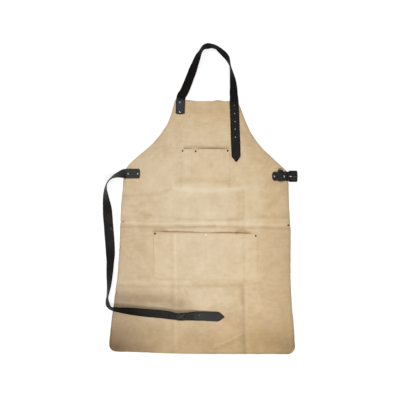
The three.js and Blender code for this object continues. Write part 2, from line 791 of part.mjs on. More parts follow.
/** Places along a strap with its plan direction, tilt, side vector, height and distance. */
function strapRoute(points, innerSide) {
  const curve = new THREE.CatmullRomCurve3(
    points.map((p) => new THREE.Vector3(p.x, p.y, p.tilt * TILT_WEIGHT)),
  );
  const samples = [];
  for (let i = 0; i <= ROUTE_SAMPLES; i++) {
    const at = curve.getPoint(i / ROUTE_SAMPLES);
    const ahead = curve.getTangent(i / ROUTE_SAMPLES);
    const heading = new THREE.Vector2(ahead.x, ahead.y).normalize();
    const tilt = THREE.MathUtils.degToRad(Math.max(0, at.z / TILT_WEIGHT));
    const side = new THREE.Vector2(-heading.y, heading.x).multiplyScalar(innerSide);
    samples.push({ x: at.x, y: at.y, heading, tilt, side });
  }
  for (const s of samples) s.base = restingHeight(s);
  settle(samples);
  settle([...samples].reverse());
  let length = 0;
  samples.forEach((s, i) => {
    s.z = s.base + (STRAP_WIDTH / 2) * Math.sin(s.tilt) + (STRAP_THICKNESS / 2) * Math.cos(s.tilt);
    if (i) length += Math.hypot(s.x - samples[i - 1].x, s.y - samples[i - 1].y, s.z - samples[i - 1].z);
    s.length = length;
  });
  return samples;
}

/** The lowest that the strap's outer edge can lie at a sample without sinking into anything. */
function restingHeight(s) {
  let base = 0;
  for (let k = 0; k <= ACROSS_SAMPLES; k++) {
    const across = k / ACROSS_SAMPLES - 0.5;
    const reach = across * STRAP_WIDTH * Math.cos(s.tilt) + (STRAP_THICKNESS / 2) * Math.sin(s.tilt);
    const lift = (across + 0.5) * STRAP_WIDTH * Math.sin(s.tilt);
    const ground = groundAt(s.x + s.side.x * reach, s.y + s.side.y * reach);
    base = Math.max(base, ground - lift);
  }
  return base;
}

/** Lets the strap come down from what it lies on no faster than STRAP_SETTLE. */
function settle(samples) {
  for (let i = 1; i < samples.length; i++) {
    const run = Math.hypot(samples[i].x - samples[i - 1].x, samples[i].y - samples[i - 1].y);
    samples[i].base = Math.max(samples[i].base, samples[i - 1].base - STRAP_SETTLE * run);
  }
}

function sampleAt(route, length) {
  return route.find((s) => s.length >= length) ?? route[route.length - 1];
}

/** The strap's own axes at a sample: across it, out of its face, and along it. */
function strapAxes(s) {
  const [sin, cos] = [Math.sin(s.tilt), Math.cos(s.tilt)];
  return {
    across: new THREE.Vector3(s.side.x * cos, s.side.y * cos, sin),
    face: new THREE.Vector3(-s.side.x * sin, -s.side.y * sin, cos),
  };
}

function strapRing(s, width) {
  const { across, face } = strapAxes(s);
  const centre = new THREE.Vector3(s.x, s.y, s.z);
  const corners = [[-1, -1], [1, -1], [1, 1], [-1, 1]];
  return corners.map(([u, v]) =>
    centre
      .clone()
      .addScaledVector(across, (u * width) / 2)
      .addScaledVector(face, (v * STRAP_THICKNESS) / 2),
  );
}

/** Picks sections close together where the strap turns or tips, and far apart where it is even. */
function strapStations(route) {
  const total = route[route.length - 1].length;
  const ends = [
    ...ROUND_END.map((row) => ({ length: row.back * STRAP_WIDTH, wide: row.wide })),
    ...[...POINTED_END].reverse().map((row) => ({
      length: total - row.back * STRAP_WIDTH,
      wide: row.wide,
    })),
  ];
  const from = ROUND_END[ROUND_END.length - 1].back * STRAP_WIDTH;
  const to = total - POINTED_END[POINTED_END.length - 1].back * STRAP_WIDTH;
  const stations = [];
  let last = sampleAt(route, from);
  for (const s of route) {
    const turn = Math.abs(last.heading.angleTo(s.heading)) + Math.abs(s.tilt - last.tilt);
    const climb = Math.abs(s.base - last.base);
    const due = s.length - last.length > MAX_STEP || turn > MAX_TURN || climb > MAX_CLIMB;
    if (s.length > from + MIN_STEP && s.length < to - MIN_STEP && due) {
      stations.push({ length: s.length, wide: 1 });
      last = s;
    }
  }
  return [...ends, ...stations].sort((a, b) => a.length - b.length);
}

/** A strap with a row of holes counted back from its pointed end. */
function strapGeometry(route, holes, rivets) {
  const rings = strapStations(route).map((station) =>
    strapRing(sampleAt(route, station.length), STRAP_WIDTH * station.wide),
  );
  const total = route[route.length - 1].length;
  const cutters = [];
  for (let i = 0; i < holes; i++) {
    const s = sampleAt(route, total - HOLE_FROM_TIP - i * HOLE_PITCH);
    const { face } = strapAxes(s);
    const depth = 3 * STRAP_THICKNESS;
    const hole = new THREE.CylinderGeometry(HOLE_RADIUS, HOLE_RADIUS, depth, BAR_SIDES);
    const turn = new THREE.Quaternion().setFromUnitVectors(new THREE.Vector3(0, 1, 0), face);
    cutters.push(solidOf(hole.applyQuaternion(turn).translate(s.x, s.y, s.z)));
  }
  return geometryOf(cutAll(solidOf(skinRings(rings)), [...cutters, ...rivets.map(shankCutter)]));
}

const QUARTERS = [0.25, 0.5, 0.75, 1];

/** The neck strap's places: its patch, its loop and its loose end down the bib. */
function neckStrapPoints() {
  const span = NECK_RIGHT - NECK_LEFT;
  const patch = [...QUARTERS].reverse().map((share) => ({
    x: NECK_LEFT,
    y: BIB_TOP - share * NECK_PATCH_LENGTH,
    tilt: 0,
  }));
  const loop = NECK_LOOP.map((row) => ({
    x: NECK_LEFT + row.across * span,
    y: BIB_TOP + row.rise * NECK_LOOP_RISE,
    tilt: row.tilt,
  }));
  const tail = QUARTERS.map((share) => ({
    x: NECK_RIGHT + share * NECK_TAIL_DRIFT,
    y: BIB_TOP - share * NECK_TAIL_LENGTH,
    tilt: 0,
  }));
  return [...patch, ...loop, ...tail];
}

const WAIST_STRAP_Y = SKIRT_LENGTH - WAIST_STRAP_DROP;
const WAIST_PATCH_PLACES = [1, 0.7, 0.4, 0.15];

/** The waist strap's places: its patch, its run beside the apron and its loose end across it. */
function waistStrapPoints() {
  const edge = -sideAt(WAIST_STRAP_Y, "left");
  const patch = WAIST_PATCH_PLACES.map((share) => ({
    x: edge + share * WAIST_PATCH_LENGTH,
    y: WAIST_STRAP_Y,
    tilt: 0,
  }));
  const side = WAIST_SIDE_RUN.map((row) => {
    const y = WAIST_STRAP_Y - row.down * WAIST_STRAP_FALL;
    return {
      x: -sideAt(y, "left") - row.out * WAIST_STRAP_STANDOFF,
      y,
      tilt: row.tilt,
    };
  });
  const frontY = WAIST_STRAP_Y - WAIST_STRAP_FALL;
  const frontEdge = -sideAt(frontY, "left");
  const front = WAIST_FRONT_RUN.map((row) => ({
    x: frontEdge + row.along * WAIST_STRAP_REACH,
    y: frontY - row.sag * WAIST_STRAP_SAG,
    tilt: row.tilt,
  }));
  return [...patch, ...side, ...front];
}

const NECK_RIVETS = ["lower", "upper"].map((where, i) => ({
  name: `neck_rivet_${where}`,
  x: NECK_LEFT,
  y: BIB_TOP - NECK_PATCH_LENGTH + STRAP_RIVET_INSET + i * STRAP_RIVET_PITCH,
  seat: LEATHER + GAP + STRAP_THICKNESS,
}));
const WAIST_RIVETS = ["inner", "outer"].map((where, i) => ({
  name: `waist_rivet_${where}`,
  x: -sideAt(WAIST_STRAP_Y, "left") + WAIST_PATCH_LENGTH - STRAP_RIVET_INSET - i * STRAP_RIVET_PITCH,
  y: WAIST_STRAP_Y,
  seat: LEATHER + GAP + STRAP_THICKNESS,
}));

// The buckle, with the strap folded round its heel bar. Heights stack up from the apron's face.

const GUARD_UNDER = LEATHER + GAP;
const LOWER_LEAF_UNDER = GUARD_UNDER + LEATHER + GAP;
const UPPER_LEAF_UNDER = LOWER_LEAF_UNDER + LEATHER + GAP;
const FOLD_INNER_RADIUS = BUCKLE_BAR_RADIUS + BAR_CLEARANCE;
const TONGUE_EYE_OUTER = FOLD_INNER_RADIUS + TONGUE_EYE_WALL;
const TONGUE_UNDER = BUCKLE_BAR_RADIUS + GAP;
const TONGUE_TOP = TONGUE_UNDER + TONGUE_THICKNESS;
const HEEL_Z = LOWER_LEAF_UNDER + LEATHER + FOLD_INNER_RADIUS;
const TOE_Z = GUARD_UNDER + LEATHER + GAP + BUCKLE_BAR_RADIUS;
const BUCKLE_Y = SKIRT_LENGTH - BUCKLE_DROP;
const HEEL_X = sideAt(BUCKLE_Y, "right") + BUCKLE_OUTSIDE + BUCKLE_BAR_RADIUS;
const BUCKLE_TILT = Math.asin((HEEL_Z - TOE_Z) / BUCKLE_PITCH);
const END_STEP_BACK = KEEPER_BACK + KEEPER_WIDTH + KEEPER_END_ROOM;

const BUCKLE_RIVETS = [
  {
    name: "buckle_rivet_inner",
    back: BUCKLE_STRAP_LENGTH - STRAP_RIVET_INSET,
    seat: 3 * LEATHER + 2 * GAP,
  },
  {
    name: "buckle_rivet_outer",
    back: BUCKLE_RIVET_BACK,
    seat: UPPER_LEAF_UNDER + LEATHER,
  },
].map((rivet) => ({ ...rivet, x: HEEL_X - rivet.back, y: BUCKLE_Y }));

/** A band of leather, drawn as a closed shape along a centre line in its own plane. */
function bandShape(line) {
  const normals = line.map((p, i) => {
    const before = line[Math.max(0, i - 1)];
    const after = line[Math.min(line.length - 1, i + 1)];
    const along = after.clone().sub(before).normalize();
    return new THREE.Vector2(-along.y, along.x);
  });
  const offset = (sign) =>
    line.map((p, i) => p.clone().addScaledVector(normals[i], (sign * LEATHER) / 2));
  return new THREE.Shape([...offset(1), ...offset(-1).reverse()]);
}

/** Stands a shape drawn in X and Z up, so that its depth runs along Y about the middle. */
function acrossY(shape, width) {
  const geometry = new THREE.ExtrudeGeometry(shape, { depth: width, bevelEnabled: false });
  return geometry.translate(0, 0, -width / 2).rotateX(Math.PI / 2);
}

/** The folded strap: lower leaf, fold round the bar, upper leaf back over it. */
function buckleStrapGeometry() {
  const middle = LEATHER / 2;
  const foldRadius = FOLD_INNER_RADIUS + middle;
  const lower = LOWER_LEAF_UNDER + middle;
  const upper = UPPER_LEAF_UNDER + middle;
  const endDrop = LOWER_LEAF_UNDER - GUARD_UNDER;
  const point = (x, z) => new THREE.Vector2(x, z);
  const fold = new THREE.EllipseCurve(0, HEEL_Z, foldRadius, foldRadius, -Math.PI / 2, Math.PI / 2);
  const descent = FOLD_DESCENT.map((row) =>
    point(
      -row.back * FOLD_SLOT_BACK,
      upper + row.high * (HEEL_Z + foldRadius - upper),
    ),
  );
  const line = [
    point(-BUCKLE_STRAP_LENGTH, lower - endDrop),
    point(-END_STEP_BACK - END_STEP_RUN, lower - endDrop),
    point(-END_STEP_BACK, lower),
    ...fold.getPoints(FOLD_STEPS),
    ...descent,
    point(-END_STEP_BACK, upper),
    point(-END_STEP_BACK - END_STEP_RUN, upper - endDrop),
    point(-BUCKLE_STRAP_LENGTH, upper - endDrop),
  ];
  const band = solidOf(acrossY(bandShape(line), BUCKLE_STRAP_WIDTH));
  const half = BUCKLE_STRAP_WIDTH / 2;
  const plan = new THREE.Shape();
  plan.moveTo(foldRadius + LEATHER, -half - CUT_MARGIN);
  plan.lineTo(foldRadius + LEATHER, half + CUT_MARGIN);
  plan.lineTo(-BUCKLE_STRAP_LENGTH + BUCKLE_STRAP_END_BOW, half + CUT_MARGIN);
  plan.quadraticCurveTo(
    -BUCKLE_STRAP_LENGTH - BUCKLE_STRAP_END_BOW,
    0,
    -BUCKLE_STRAP_LENGTH + BUCKLE_STRAP_END_BOW,
    -half - CUT_MARGIN,
  );
  const slot = new THREE.BoxGeometry(FOLD_SLOT_BACK + 2 * foldRadius, FOLD_SLOT_WIDTH, TALL);
  slot.translate(-FOLD_SLOT_BACK / 2 + foldRadius, 0, UPPER_LEAF_UNDER - GAP / 2 + TALL / 2);
  const eyeReach = Math.hypot(TONGUE_EYE_OUTER, TONGUE_TOP) + BAR_CLEARANCE;
  const eyeRoom = new THREE.BoxGeometry(2 * eyeReach, FOLD_SLOT_WIDTH, TALL);
  eyeRoom.translate(0, 0, HEEL_Z);
  const shaped = band.intersect(upright(plan, -CUT_MARGIN, TALL));
  const open = cutAll(shaped, [solidOf(slot), solidOf(eyeRoom)]);
  const placed = open.translate([HEEL_X, BUCKLE_Y, 0]);
  return geometryOf(cutAll(placed, BUCKLE_RIVETS.map(shankCutter)));
}

/** The tab under the buckle, which its toe rests on. */
function guardGeometry() {
  const half = BUCKLE_STRAP_WIDTH / 2;
  const toe = BUCKLE_PITCH * Math.cos(BUCKLE_TILT);
  const r = GUARD_CORNER_RADIUS;
  const plan = new THREE.Shape();
  plan.moveTo(-GUARD_INNER, -half);
  plan.lineTo(toe - r, -half);
  plan.absarc(toe - r, -half + r, r, -Math.PI / 2, 0);
  plan.absarc(toe - r, half - r, r, 0, Math.PI / 2);
  plan.lineTo(-GUARD_INNER, half);
  const tab = new THREE.ExtrudeGeometry(plan, {
    depth: LEATHER,
    bevelEnabled: false,
    curveSegments: GUARD_CORNER_STEPS,
  });
  const placed = solidOf(tab.translate(HEEL_X, BUCKLE_Y, GUARD_UNDER));
  return geometryOf(cutAll(placed, [shankCutter(BUCKLE_RIVETS[1])]));
}

/** The keeper: a closed leather loop round both leaves, loose enough for the strap's end. */
function keeperGeometry() {
  const half = BUCKLE_STRAP_WIDTH / 2;
  const inner = {
    left: -half - KEEPER_SIDE_PLAY,
    right: half + KEEPER_STICK_OUT,
    bottom: GUARD_UNDER + LEATHER,
    top: UPPER_LEAF_UNDER + LEATHER + KEEPER_HEADROOM,
  };
  const rounded = (out, radius) => {
    const [l, r] = [inner.left - out, inner.right + out];
    const [b, t] = [inner.bottom - out, inner.top + out];
    const shape = new THREE.Path();
    shape.moveTo(l + radius, b);
    shape.absarc(r - radius, b + radius, radius, -Math.PI / 2, 0);
    shape.absarc(r - radius, t - radius, radius, 0, Math.PI / 2);
    shape.absarc(l + radius, t - radius, radius, Math.PI / 2, Math.PI);
    shape.absarc(l + radius, b + radius, radius, Math.PI, 1.5 * Math.PI);
    return shape.getPoints(KEEPER_CORNER_STEPS);
  };
  const shape = new THREE.Shape(rounded(LEATHER, KEEPER_INNER_RADIUS + LEATHER));
  shape.holes.push(new THREE.Path(rounded(0, KEEPER_INNER_RADIUS)));
  const loop = new THREE.ExtrudeGeometry(shape, { depth: KEEPER_WIDTH, bevelEnabled: false });
  loop.rotateX(Math.PI / 2).rotateZ(Math.PI / 2);
  loop.translate(-KEEPER_BACK - KEEPER_WIDTH, 0, 0);
  return geometryOf(solidOf(loop));
}

/** The buckle's frame in its own plane, with the heel bar's axis along Y at the origin. */
function frameGeometry() {
  const half = BUCKLE_WIDTH / 2 - BUCKLE_BAR_RADIUS;
  const r = BUCKLE_CORNER_RADIUS;
  const path = new THREE.Path();
  path.moveTo(r, -half);
  path.absarc(BUCKLE_PITCH - r, -half + r, r, -Math.PI / 2, 0);
  path.absarc(BUCKLE_PITCH - r, half - r, r, 0, Math.PI / 2);
  path.absarc(r, half - r, r, Math.PI / 2, Math.PI);
  path.absarc(r, -half + r, r, Math.PI, 1.5 * Math.PI);
  const line = path.getPoints(FRAME_CORNER_STEPS).filter((p, i, all) => {
    const next = all[(i + 1) % all.length];
    return p.distanceTo(next) > 1e-6;
  });
  const rings = line.map((p, i) => {
    const before = line[(i + line.length - 1) % line.length];
    const after = line[(i + 1) % line.length];
    const along = after.clone().sub(before).normalize();
    const outward = new THREE.Vector3(along.y, -along.x, 0);
    return Array.from({ length: BAR_SIDES }, (_, k) => {
      const angle = ((k + 0.5) * 2 * Math.PI) / BAR_SIDES;
      return new THREE.Vector3(p.x, p.y, 0)
        .addScaledVector(outward, BUCKLE_BAR_RADIUS * Math.cos(angle))
        .setZ(BUCKLE_BAR_RADIUS * Math.sin(angle));
    });
  });
  return geometryOf(solidOf(skinRings(rings, true)));
}

/** The tongue: an eye round the heel bar and a shaft that lies on the toe bar. */
function tongueGeometry() {
  const tip = BUCKLE_PITCH + TONGUE_OVERHANG;
  const start = Math.asin(TONGUE_UNDER / TONGUE_EYE_OUTER);
  const shape = new THREE.Shape();
  shape.moveTo(tip, TONGUE_UNDER);
  shape.lineTo(TONGUE_EYE_OUTER * Math.cos(start), TONGUE_UNDER);
  shape.absarc(0, 0, TONGUE_EYE_OUTER, start, Math.PI / 2, true);
  shape.lineTo(TONGUE_EYE_OUTER, TONGUE_TOP);
  shape.lineTo(tip - TONGUE_THICKNESS, TONGUE_TOP);
  shape.quadraticCurveTo(tip + TONGUE_NOSE, TONGUE_TOP, tip, TONGUE_UNDER);
  const eye = new THREE.Path();
  eye.absarc(0, 0, FOLD_INNER_RADIUS, 0, 2 * Math.PI);
  shape.holes.push(eye);
  const geometry = new THREE.ExtrudeGeometry(shape, {
    depth: TONGUE_WIDTH,
    bevelEnabled: false,
    curveSegments: EYE_STEPS,
  });
  return geometryOf(solidOf(geometry.translate(0, 0, -TONGUE_WIDTH / 2).rotateX(Math.PI / 2)));
}

// The rivet at the right edge, in the hollow between the two folds below the waist
const EDGE_RIVET_Y = (foldFoot(FOLD_BELOW_WAIST, -1) + foldFoot(FOLD_OVER_POCKET, 1)) / 2;
const EDGE_RIVET = {
  name: "edge_rivet",
  x: sideAt(EDGE_RIVET_Y, "right") - EDGE_RIVET_INSET,
  y: EDGE_RIVET_Y,
  seat: LEATHER,
  finish: "darkMetal",
};

const CHEST_RIVETS = pocketRivets("chest_pocket", CHEST_POCKET, "darkMetal");
const LOWER_RIVETS = pocketRivets("lower_pocket", LOWER_POCKET, "nickel");
const ALL_RIVETS = [
  ...NECK_RIVETS,
  ...WAIST_RIVETS,
  ...BUCKLE_RIVETS,
  ...CHEST_RIVETS,
  ...LOWER_RIVETS,
  EDGE_RIVET,
];

function apronBodyGeometry() {
  const reach = HEM_WIDTH / 2 + GRID_MARGIN;
  const xs = foldLinesX(-reach, reach);
  const ys = foldLinesY(-GRID_MARGIN, BIB_TOP + GRID_MARGIN);
  const sheet = solidOf(gridWall(xs, ys, reliefAt));
  const cut = sheet.intersect(upright(new THREE.Shape(OUTLINE), -CUT_MARGIN, TALL));
  return geometryOf(cutAll(cut, [...ALL_RIVETS.map(shankCutter), ...ALL_RIVETS.map(tailCutter)]));
}

function buildApron() {
  const apron = new THREE.Group();
  const neck = strapRoute(neckStrapPoints(), -1);
  const waist = strapRoute(waistStrapPoints(), 1);
  apron.add(
    meshOf("apron_body", apronBodyGeometry(), "suede"),
    meshOf("chest_pocket", pocketPanel(CHEST_POCKET, CHEST_RIVETS), "pocketSuede"),
    meshOf("lower_pocket", pocketPanel(LOWER_POCKET, LOWER_RIVETS), "pocketSuede"),
    meshOf("neck_strap", strapGeometry(neck, NECK_HOLES, NECK_RIVETS), "strapLeather"),
    meshOf("waist_strap", strapGeometry(waist, WAIST_HOLES, WAIST_RIVETS), "strapLeather"),
    meshOf("buckle_strap", buckleStrapGeometry(), "buckleLeather"),
    meshOf("buckle_guard", guardGeometry(), "buckleLeather"),
    ...ALL_RIVETS.map(rivetMesh),
  );
  const keeper = meshOf("keeper_loop", keeperGeometry(), "buckleLeather");
  keeper.position.set(HEEL_X, BUCKLE_Y, 0);
  apron.add(keeper);

  const buckle = new THREE.Group();
  buckle.position.set(HEEL_X, BUCKLE_Y, HEEL_Z);
  buckle.rotation.y = BUCKLE_TILT;
  buckle.add(meshOf("buckle_frame", frameGeometry(), "blackSteel"));
  buckle.add(meshOf("buckle_tongue", tongueGeometry(), "nickel"));
  apron.add(buckle);
  return apron;
}

const apron = buildApron();
const extent = new THREE.Box3().setFromObject(apron, true);
const centre = extent.getCenter(new THREE.Vector3());
apron.position.set(-centre.x, -centre.y, -extent.min.z);

export default apron;
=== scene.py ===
"""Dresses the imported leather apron: suede, pockets, straps, buckle, stitches and rivets.

The apron lies face up on a white floor and is seen from straight above. Places on it are given in
millimetres of its cut, with X from the middle line and Y up from the hem, and every mesh is written in
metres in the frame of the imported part.
"""
from __future__ import annotations

import logging
import math
from dataclasses import dataclass
from enum import Enum
from typing import Callable, Sequence

import bpy
import numpy as np
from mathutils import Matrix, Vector


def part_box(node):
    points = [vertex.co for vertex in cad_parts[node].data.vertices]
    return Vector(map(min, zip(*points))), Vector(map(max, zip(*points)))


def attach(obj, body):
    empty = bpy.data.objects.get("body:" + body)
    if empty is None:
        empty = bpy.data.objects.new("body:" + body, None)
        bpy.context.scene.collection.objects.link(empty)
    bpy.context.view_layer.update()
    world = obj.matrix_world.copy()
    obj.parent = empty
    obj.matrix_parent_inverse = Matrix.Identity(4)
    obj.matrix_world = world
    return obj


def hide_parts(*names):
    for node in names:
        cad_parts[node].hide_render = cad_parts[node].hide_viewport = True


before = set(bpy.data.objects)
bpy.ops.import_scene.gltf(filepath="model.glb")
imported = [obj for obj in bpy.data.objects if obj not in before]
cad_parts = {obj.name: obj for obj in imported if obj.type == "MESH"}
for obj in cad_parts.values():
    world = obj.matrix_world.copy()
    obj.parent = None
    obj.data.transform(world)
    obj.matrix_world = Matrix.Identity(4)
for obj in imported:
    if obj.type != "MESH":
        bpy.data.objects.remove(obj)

logging.basicConfig(level=logging.INFO, format="%(message)s")
LOG = logging.getLogger("apron")

MM = 0.001

# Millimetres: the hide's thickness, the gap under what lies on leather, and the gap under the hide
LEATHER = 2.0
SEAT_GAP = 0.12
FLOOR_GAP = 0.15

Table = Sequence[Sequence[float]]
Field = Callable[[np.ndarray, np.ndarray], np.ndarray]


class Slot(Enum):
    """The record's material slots."""

    SUEDE = "suede"
    POCKET = "pocket_suede"
    STRAP = "strap_leather"
    BUCKLE = "buckle_leather"
    BLACK_STEEL = "black_steel"
    BRIGHT_STEEL = "bright_steel"
    RIVET = "rivet_metal"
    DARK_RIVET = "dark_rivet_metal"


class Body(Enum):
    """The part's bodies."""

    APRON = "apron"
    FRAME = "frame"
    TONGUE = "tongue"


class Side(Enum):
    """The two sides of the apron, as seen."""

    LEFT = -1
    RIGHT = 1


# Curves and waves


def smooth_read(rows: Table, at: np.ndarray) -> np.ndarray:
    """Reads a two-column table along a smooth curve that never overshoots its rows.

    Args:
        rows: pairs of key and value, with rising keys.
        at: the keys to read at.

    Returns:
        The values there.
    """
    keys, values = np.array(rows, float).T
    step = np.diff(keys)
    slope = np.diff(values) / step
    lean = np.zeros(len(keys))
    lean[0], lean[-1] = slope[0], slope[-1]
    for i in range(1, len(keys) - 1):
        before, after = slope[i - 1], slope[i]
        if before * after > 0:
            lean[i] = 2 * before * after / (before + after)
    at = np.clip(np.asarray(at, float), keys[0], keys[-1])
    k = np.clip(np.searchsorted(keys, at, side="right") - 1, 0, len(step) - 1)
    t = (at - keys[k]) / step[k]
    return (
        (1 + 2 * t) * (1 - t) ** 2 * values[k]
        + t * (1 - t) ** 2 * step[k] * lean[k]
        + t * t * (3 - 2 * t) * values[k + 1]
        + t * t * (t - 1) * step[k] * lean[k + 1]
    )


def hump(distance: np.ndarray, spread: float) -> np.ndarray:
    """A round hump of height 1 that ends at spread on both sides."""
    near = np.clip(np.abs(distance) / spread, 0, 1)
    return 0.5 + 0.5 * np.cos(np.pi * near)


def fade(at: np.ndarray, start: float, end: float, over: float) -> np.ndarray:
    """1 between start and end, easing to 0 over a length inside each end."""
    share = np.clip(np.minimum(at - start, end - at) / over, 0, 1)
    return share * share * (3 - 2 * share)


def bell(distance: np.ndarray, spread: float) -> np.ndarray:
    """A bell of height 1 that has all but died away at twice its spread."""
    return np.exp(-((distance / spread) ** 2))


def stroke_gap(
    x: np.ndarray, y: np.ndarray, start: tuple[float, float], end: tuple[float, float]
) -> np.ndarray:
    """Measures how far places are from a straight stroke.

    Args:
        x: places across.
        y: places up.
        start: where the stroke begins.
        end: where it ends.

    Returns:
        The distance from each place to the nearest point of the stroke.
    """
    (ax, ay), (bx, by) = start, end
    run = (bx - ax) ** 2 + (by - ay) ** 2
    share = np.clip(((x - ax) * (bx - ax) + (y - ay) * (by - ay)) / run, 0, 1)
    return np.hypot(x - ax - share * (bx - ax), y - ay - share * (by - ay))


def corner_rows(v: np.ndarray, low: float, radius: float, height: float) -> tuple[np.ndarray, np.ndarray]:
    """Spreads a sheet's rows upwards, close together in its round lower corners.

    Args:
        v: share of the rows from the bottom up.
        low: share of the rows that lie in the corners.
        radius: the corners' radius.
        height: the sheet's height.

    Returns:
        How far up each row lies, and how far the corners pull it in from the sides.
    """
    above = radius + (height - radius) * (v - low) / (1 - low)
    rise = np.where(v < low, radius * (v / low) ** 2, above)
    into = np.clip(1 - rise / radius, 0, 1)
    return rise, radius * (1 - np.sqrt(1 - into**2))


@dataclass(frozen=True)
class Wave:
    """A calm random-looking wave: its height, the usual distance between its crests, and which it is."""

    height: float
    length: float
    number: float

    def at(self, x: np.ndarray, y: np.ndarray, shift: float = 0) -> np.ndarray:
        """Reads the wave.

        Args:
            x: places across.
            y: places up.
            shift: picks another wave of the same kind.

        Returns:
            A value between about minus and plus the wave's height at each place.
        """
        number = self.number + shift
        total = np.zeros_like(x, dtype=float)
        for i in range(5):
            turn = number * 1.7 + i * 2.4
            stretch = 0.75 + 0.22 * i
            along = np.cos(turn) * x + np.sin(turn) * y
            total = total + np.sin(2 * math.pi / self.length * stretch * along + number * 3.1 + i * 1.9)
        return self.height * (total / 3.2)

    def lift(self, x: np.ndarray, y: np.ndarray) -> np.ndarray:
        """Returns the wave as a swelling between 0 and its height."""
        return np.clip(self.height / 2 + self.at(x, y) / 2, 0, self.height)


# The cut of the apron


@dataclass(frozen=True)
class Fold:
    """A long low fold left from packing: its line, its two ends, its height and its spread."""

    line: float
    start: float
    end: float
    rise: float
    spread: float

    def lift(self, across: np.ndarray, along: np.ndarray, over: float) -> np.ndarray:
        """Reads the fold's height.

        Args:
            across: how far each place is from the fold's line.
            along: where it is along the line.
            over: the length over which the fold dies away at each end.

        Returns:
            The height at each place.
        """
        return self.rise * (hump(across, self.spread) * fade(along, self.start, self.end, over))


@dataclass(frozen=True)
class Mark:
    """A soft stroke of painted shade in the suede, or of painted light where its shade is negative, along
    points on the apron.
    """

    points: tuple[tuple[float, float], ...]
    width: float
    shade: float

    def at(self, x: np.ndarray, y: np.ndarray) -> np.ndarray:
        """Reads the stroke's shade.

        Args:
            x: places across the apron.
            y: places up it.

        Returns:
            How dark the stroke makes each place, or how light where it is negative.
        """
        gaps = [stroke_gap(x, y, start, end) for start, end in zip(self.points, self.points[1:])]
        return self.shade * bell(np.minimum.reduce(gaps), self.width)


@dataclass(frozen=True)
class Pool:
    """A wide soft place of painted shade or painted light in the suede: its middle, its spreads and its
    shade.
    """

    x: float
    y: float
    wide: float
    tall: float
    shade: float

    def at(self, x: np.ndarray, y: np.ndarray) -> np.ndarray:
        """Returns how dark the pool makes each place."""
        return self.shade * bell(x - self.x, self.wide) * bell(y - self.y, self.tall)


@dataclass(frozen=True)
class Band:
    """A tone that sets in at one place and is full from another on."""

    start: float
    full: float
    amount: float

    def at(self, place: np.ndarray) -> np.ndarray:
        """Returns how much of the tone there is at each place."""
        return self.amount * np.clip((place - self.start) / (self.full - self.start), 0, 1)


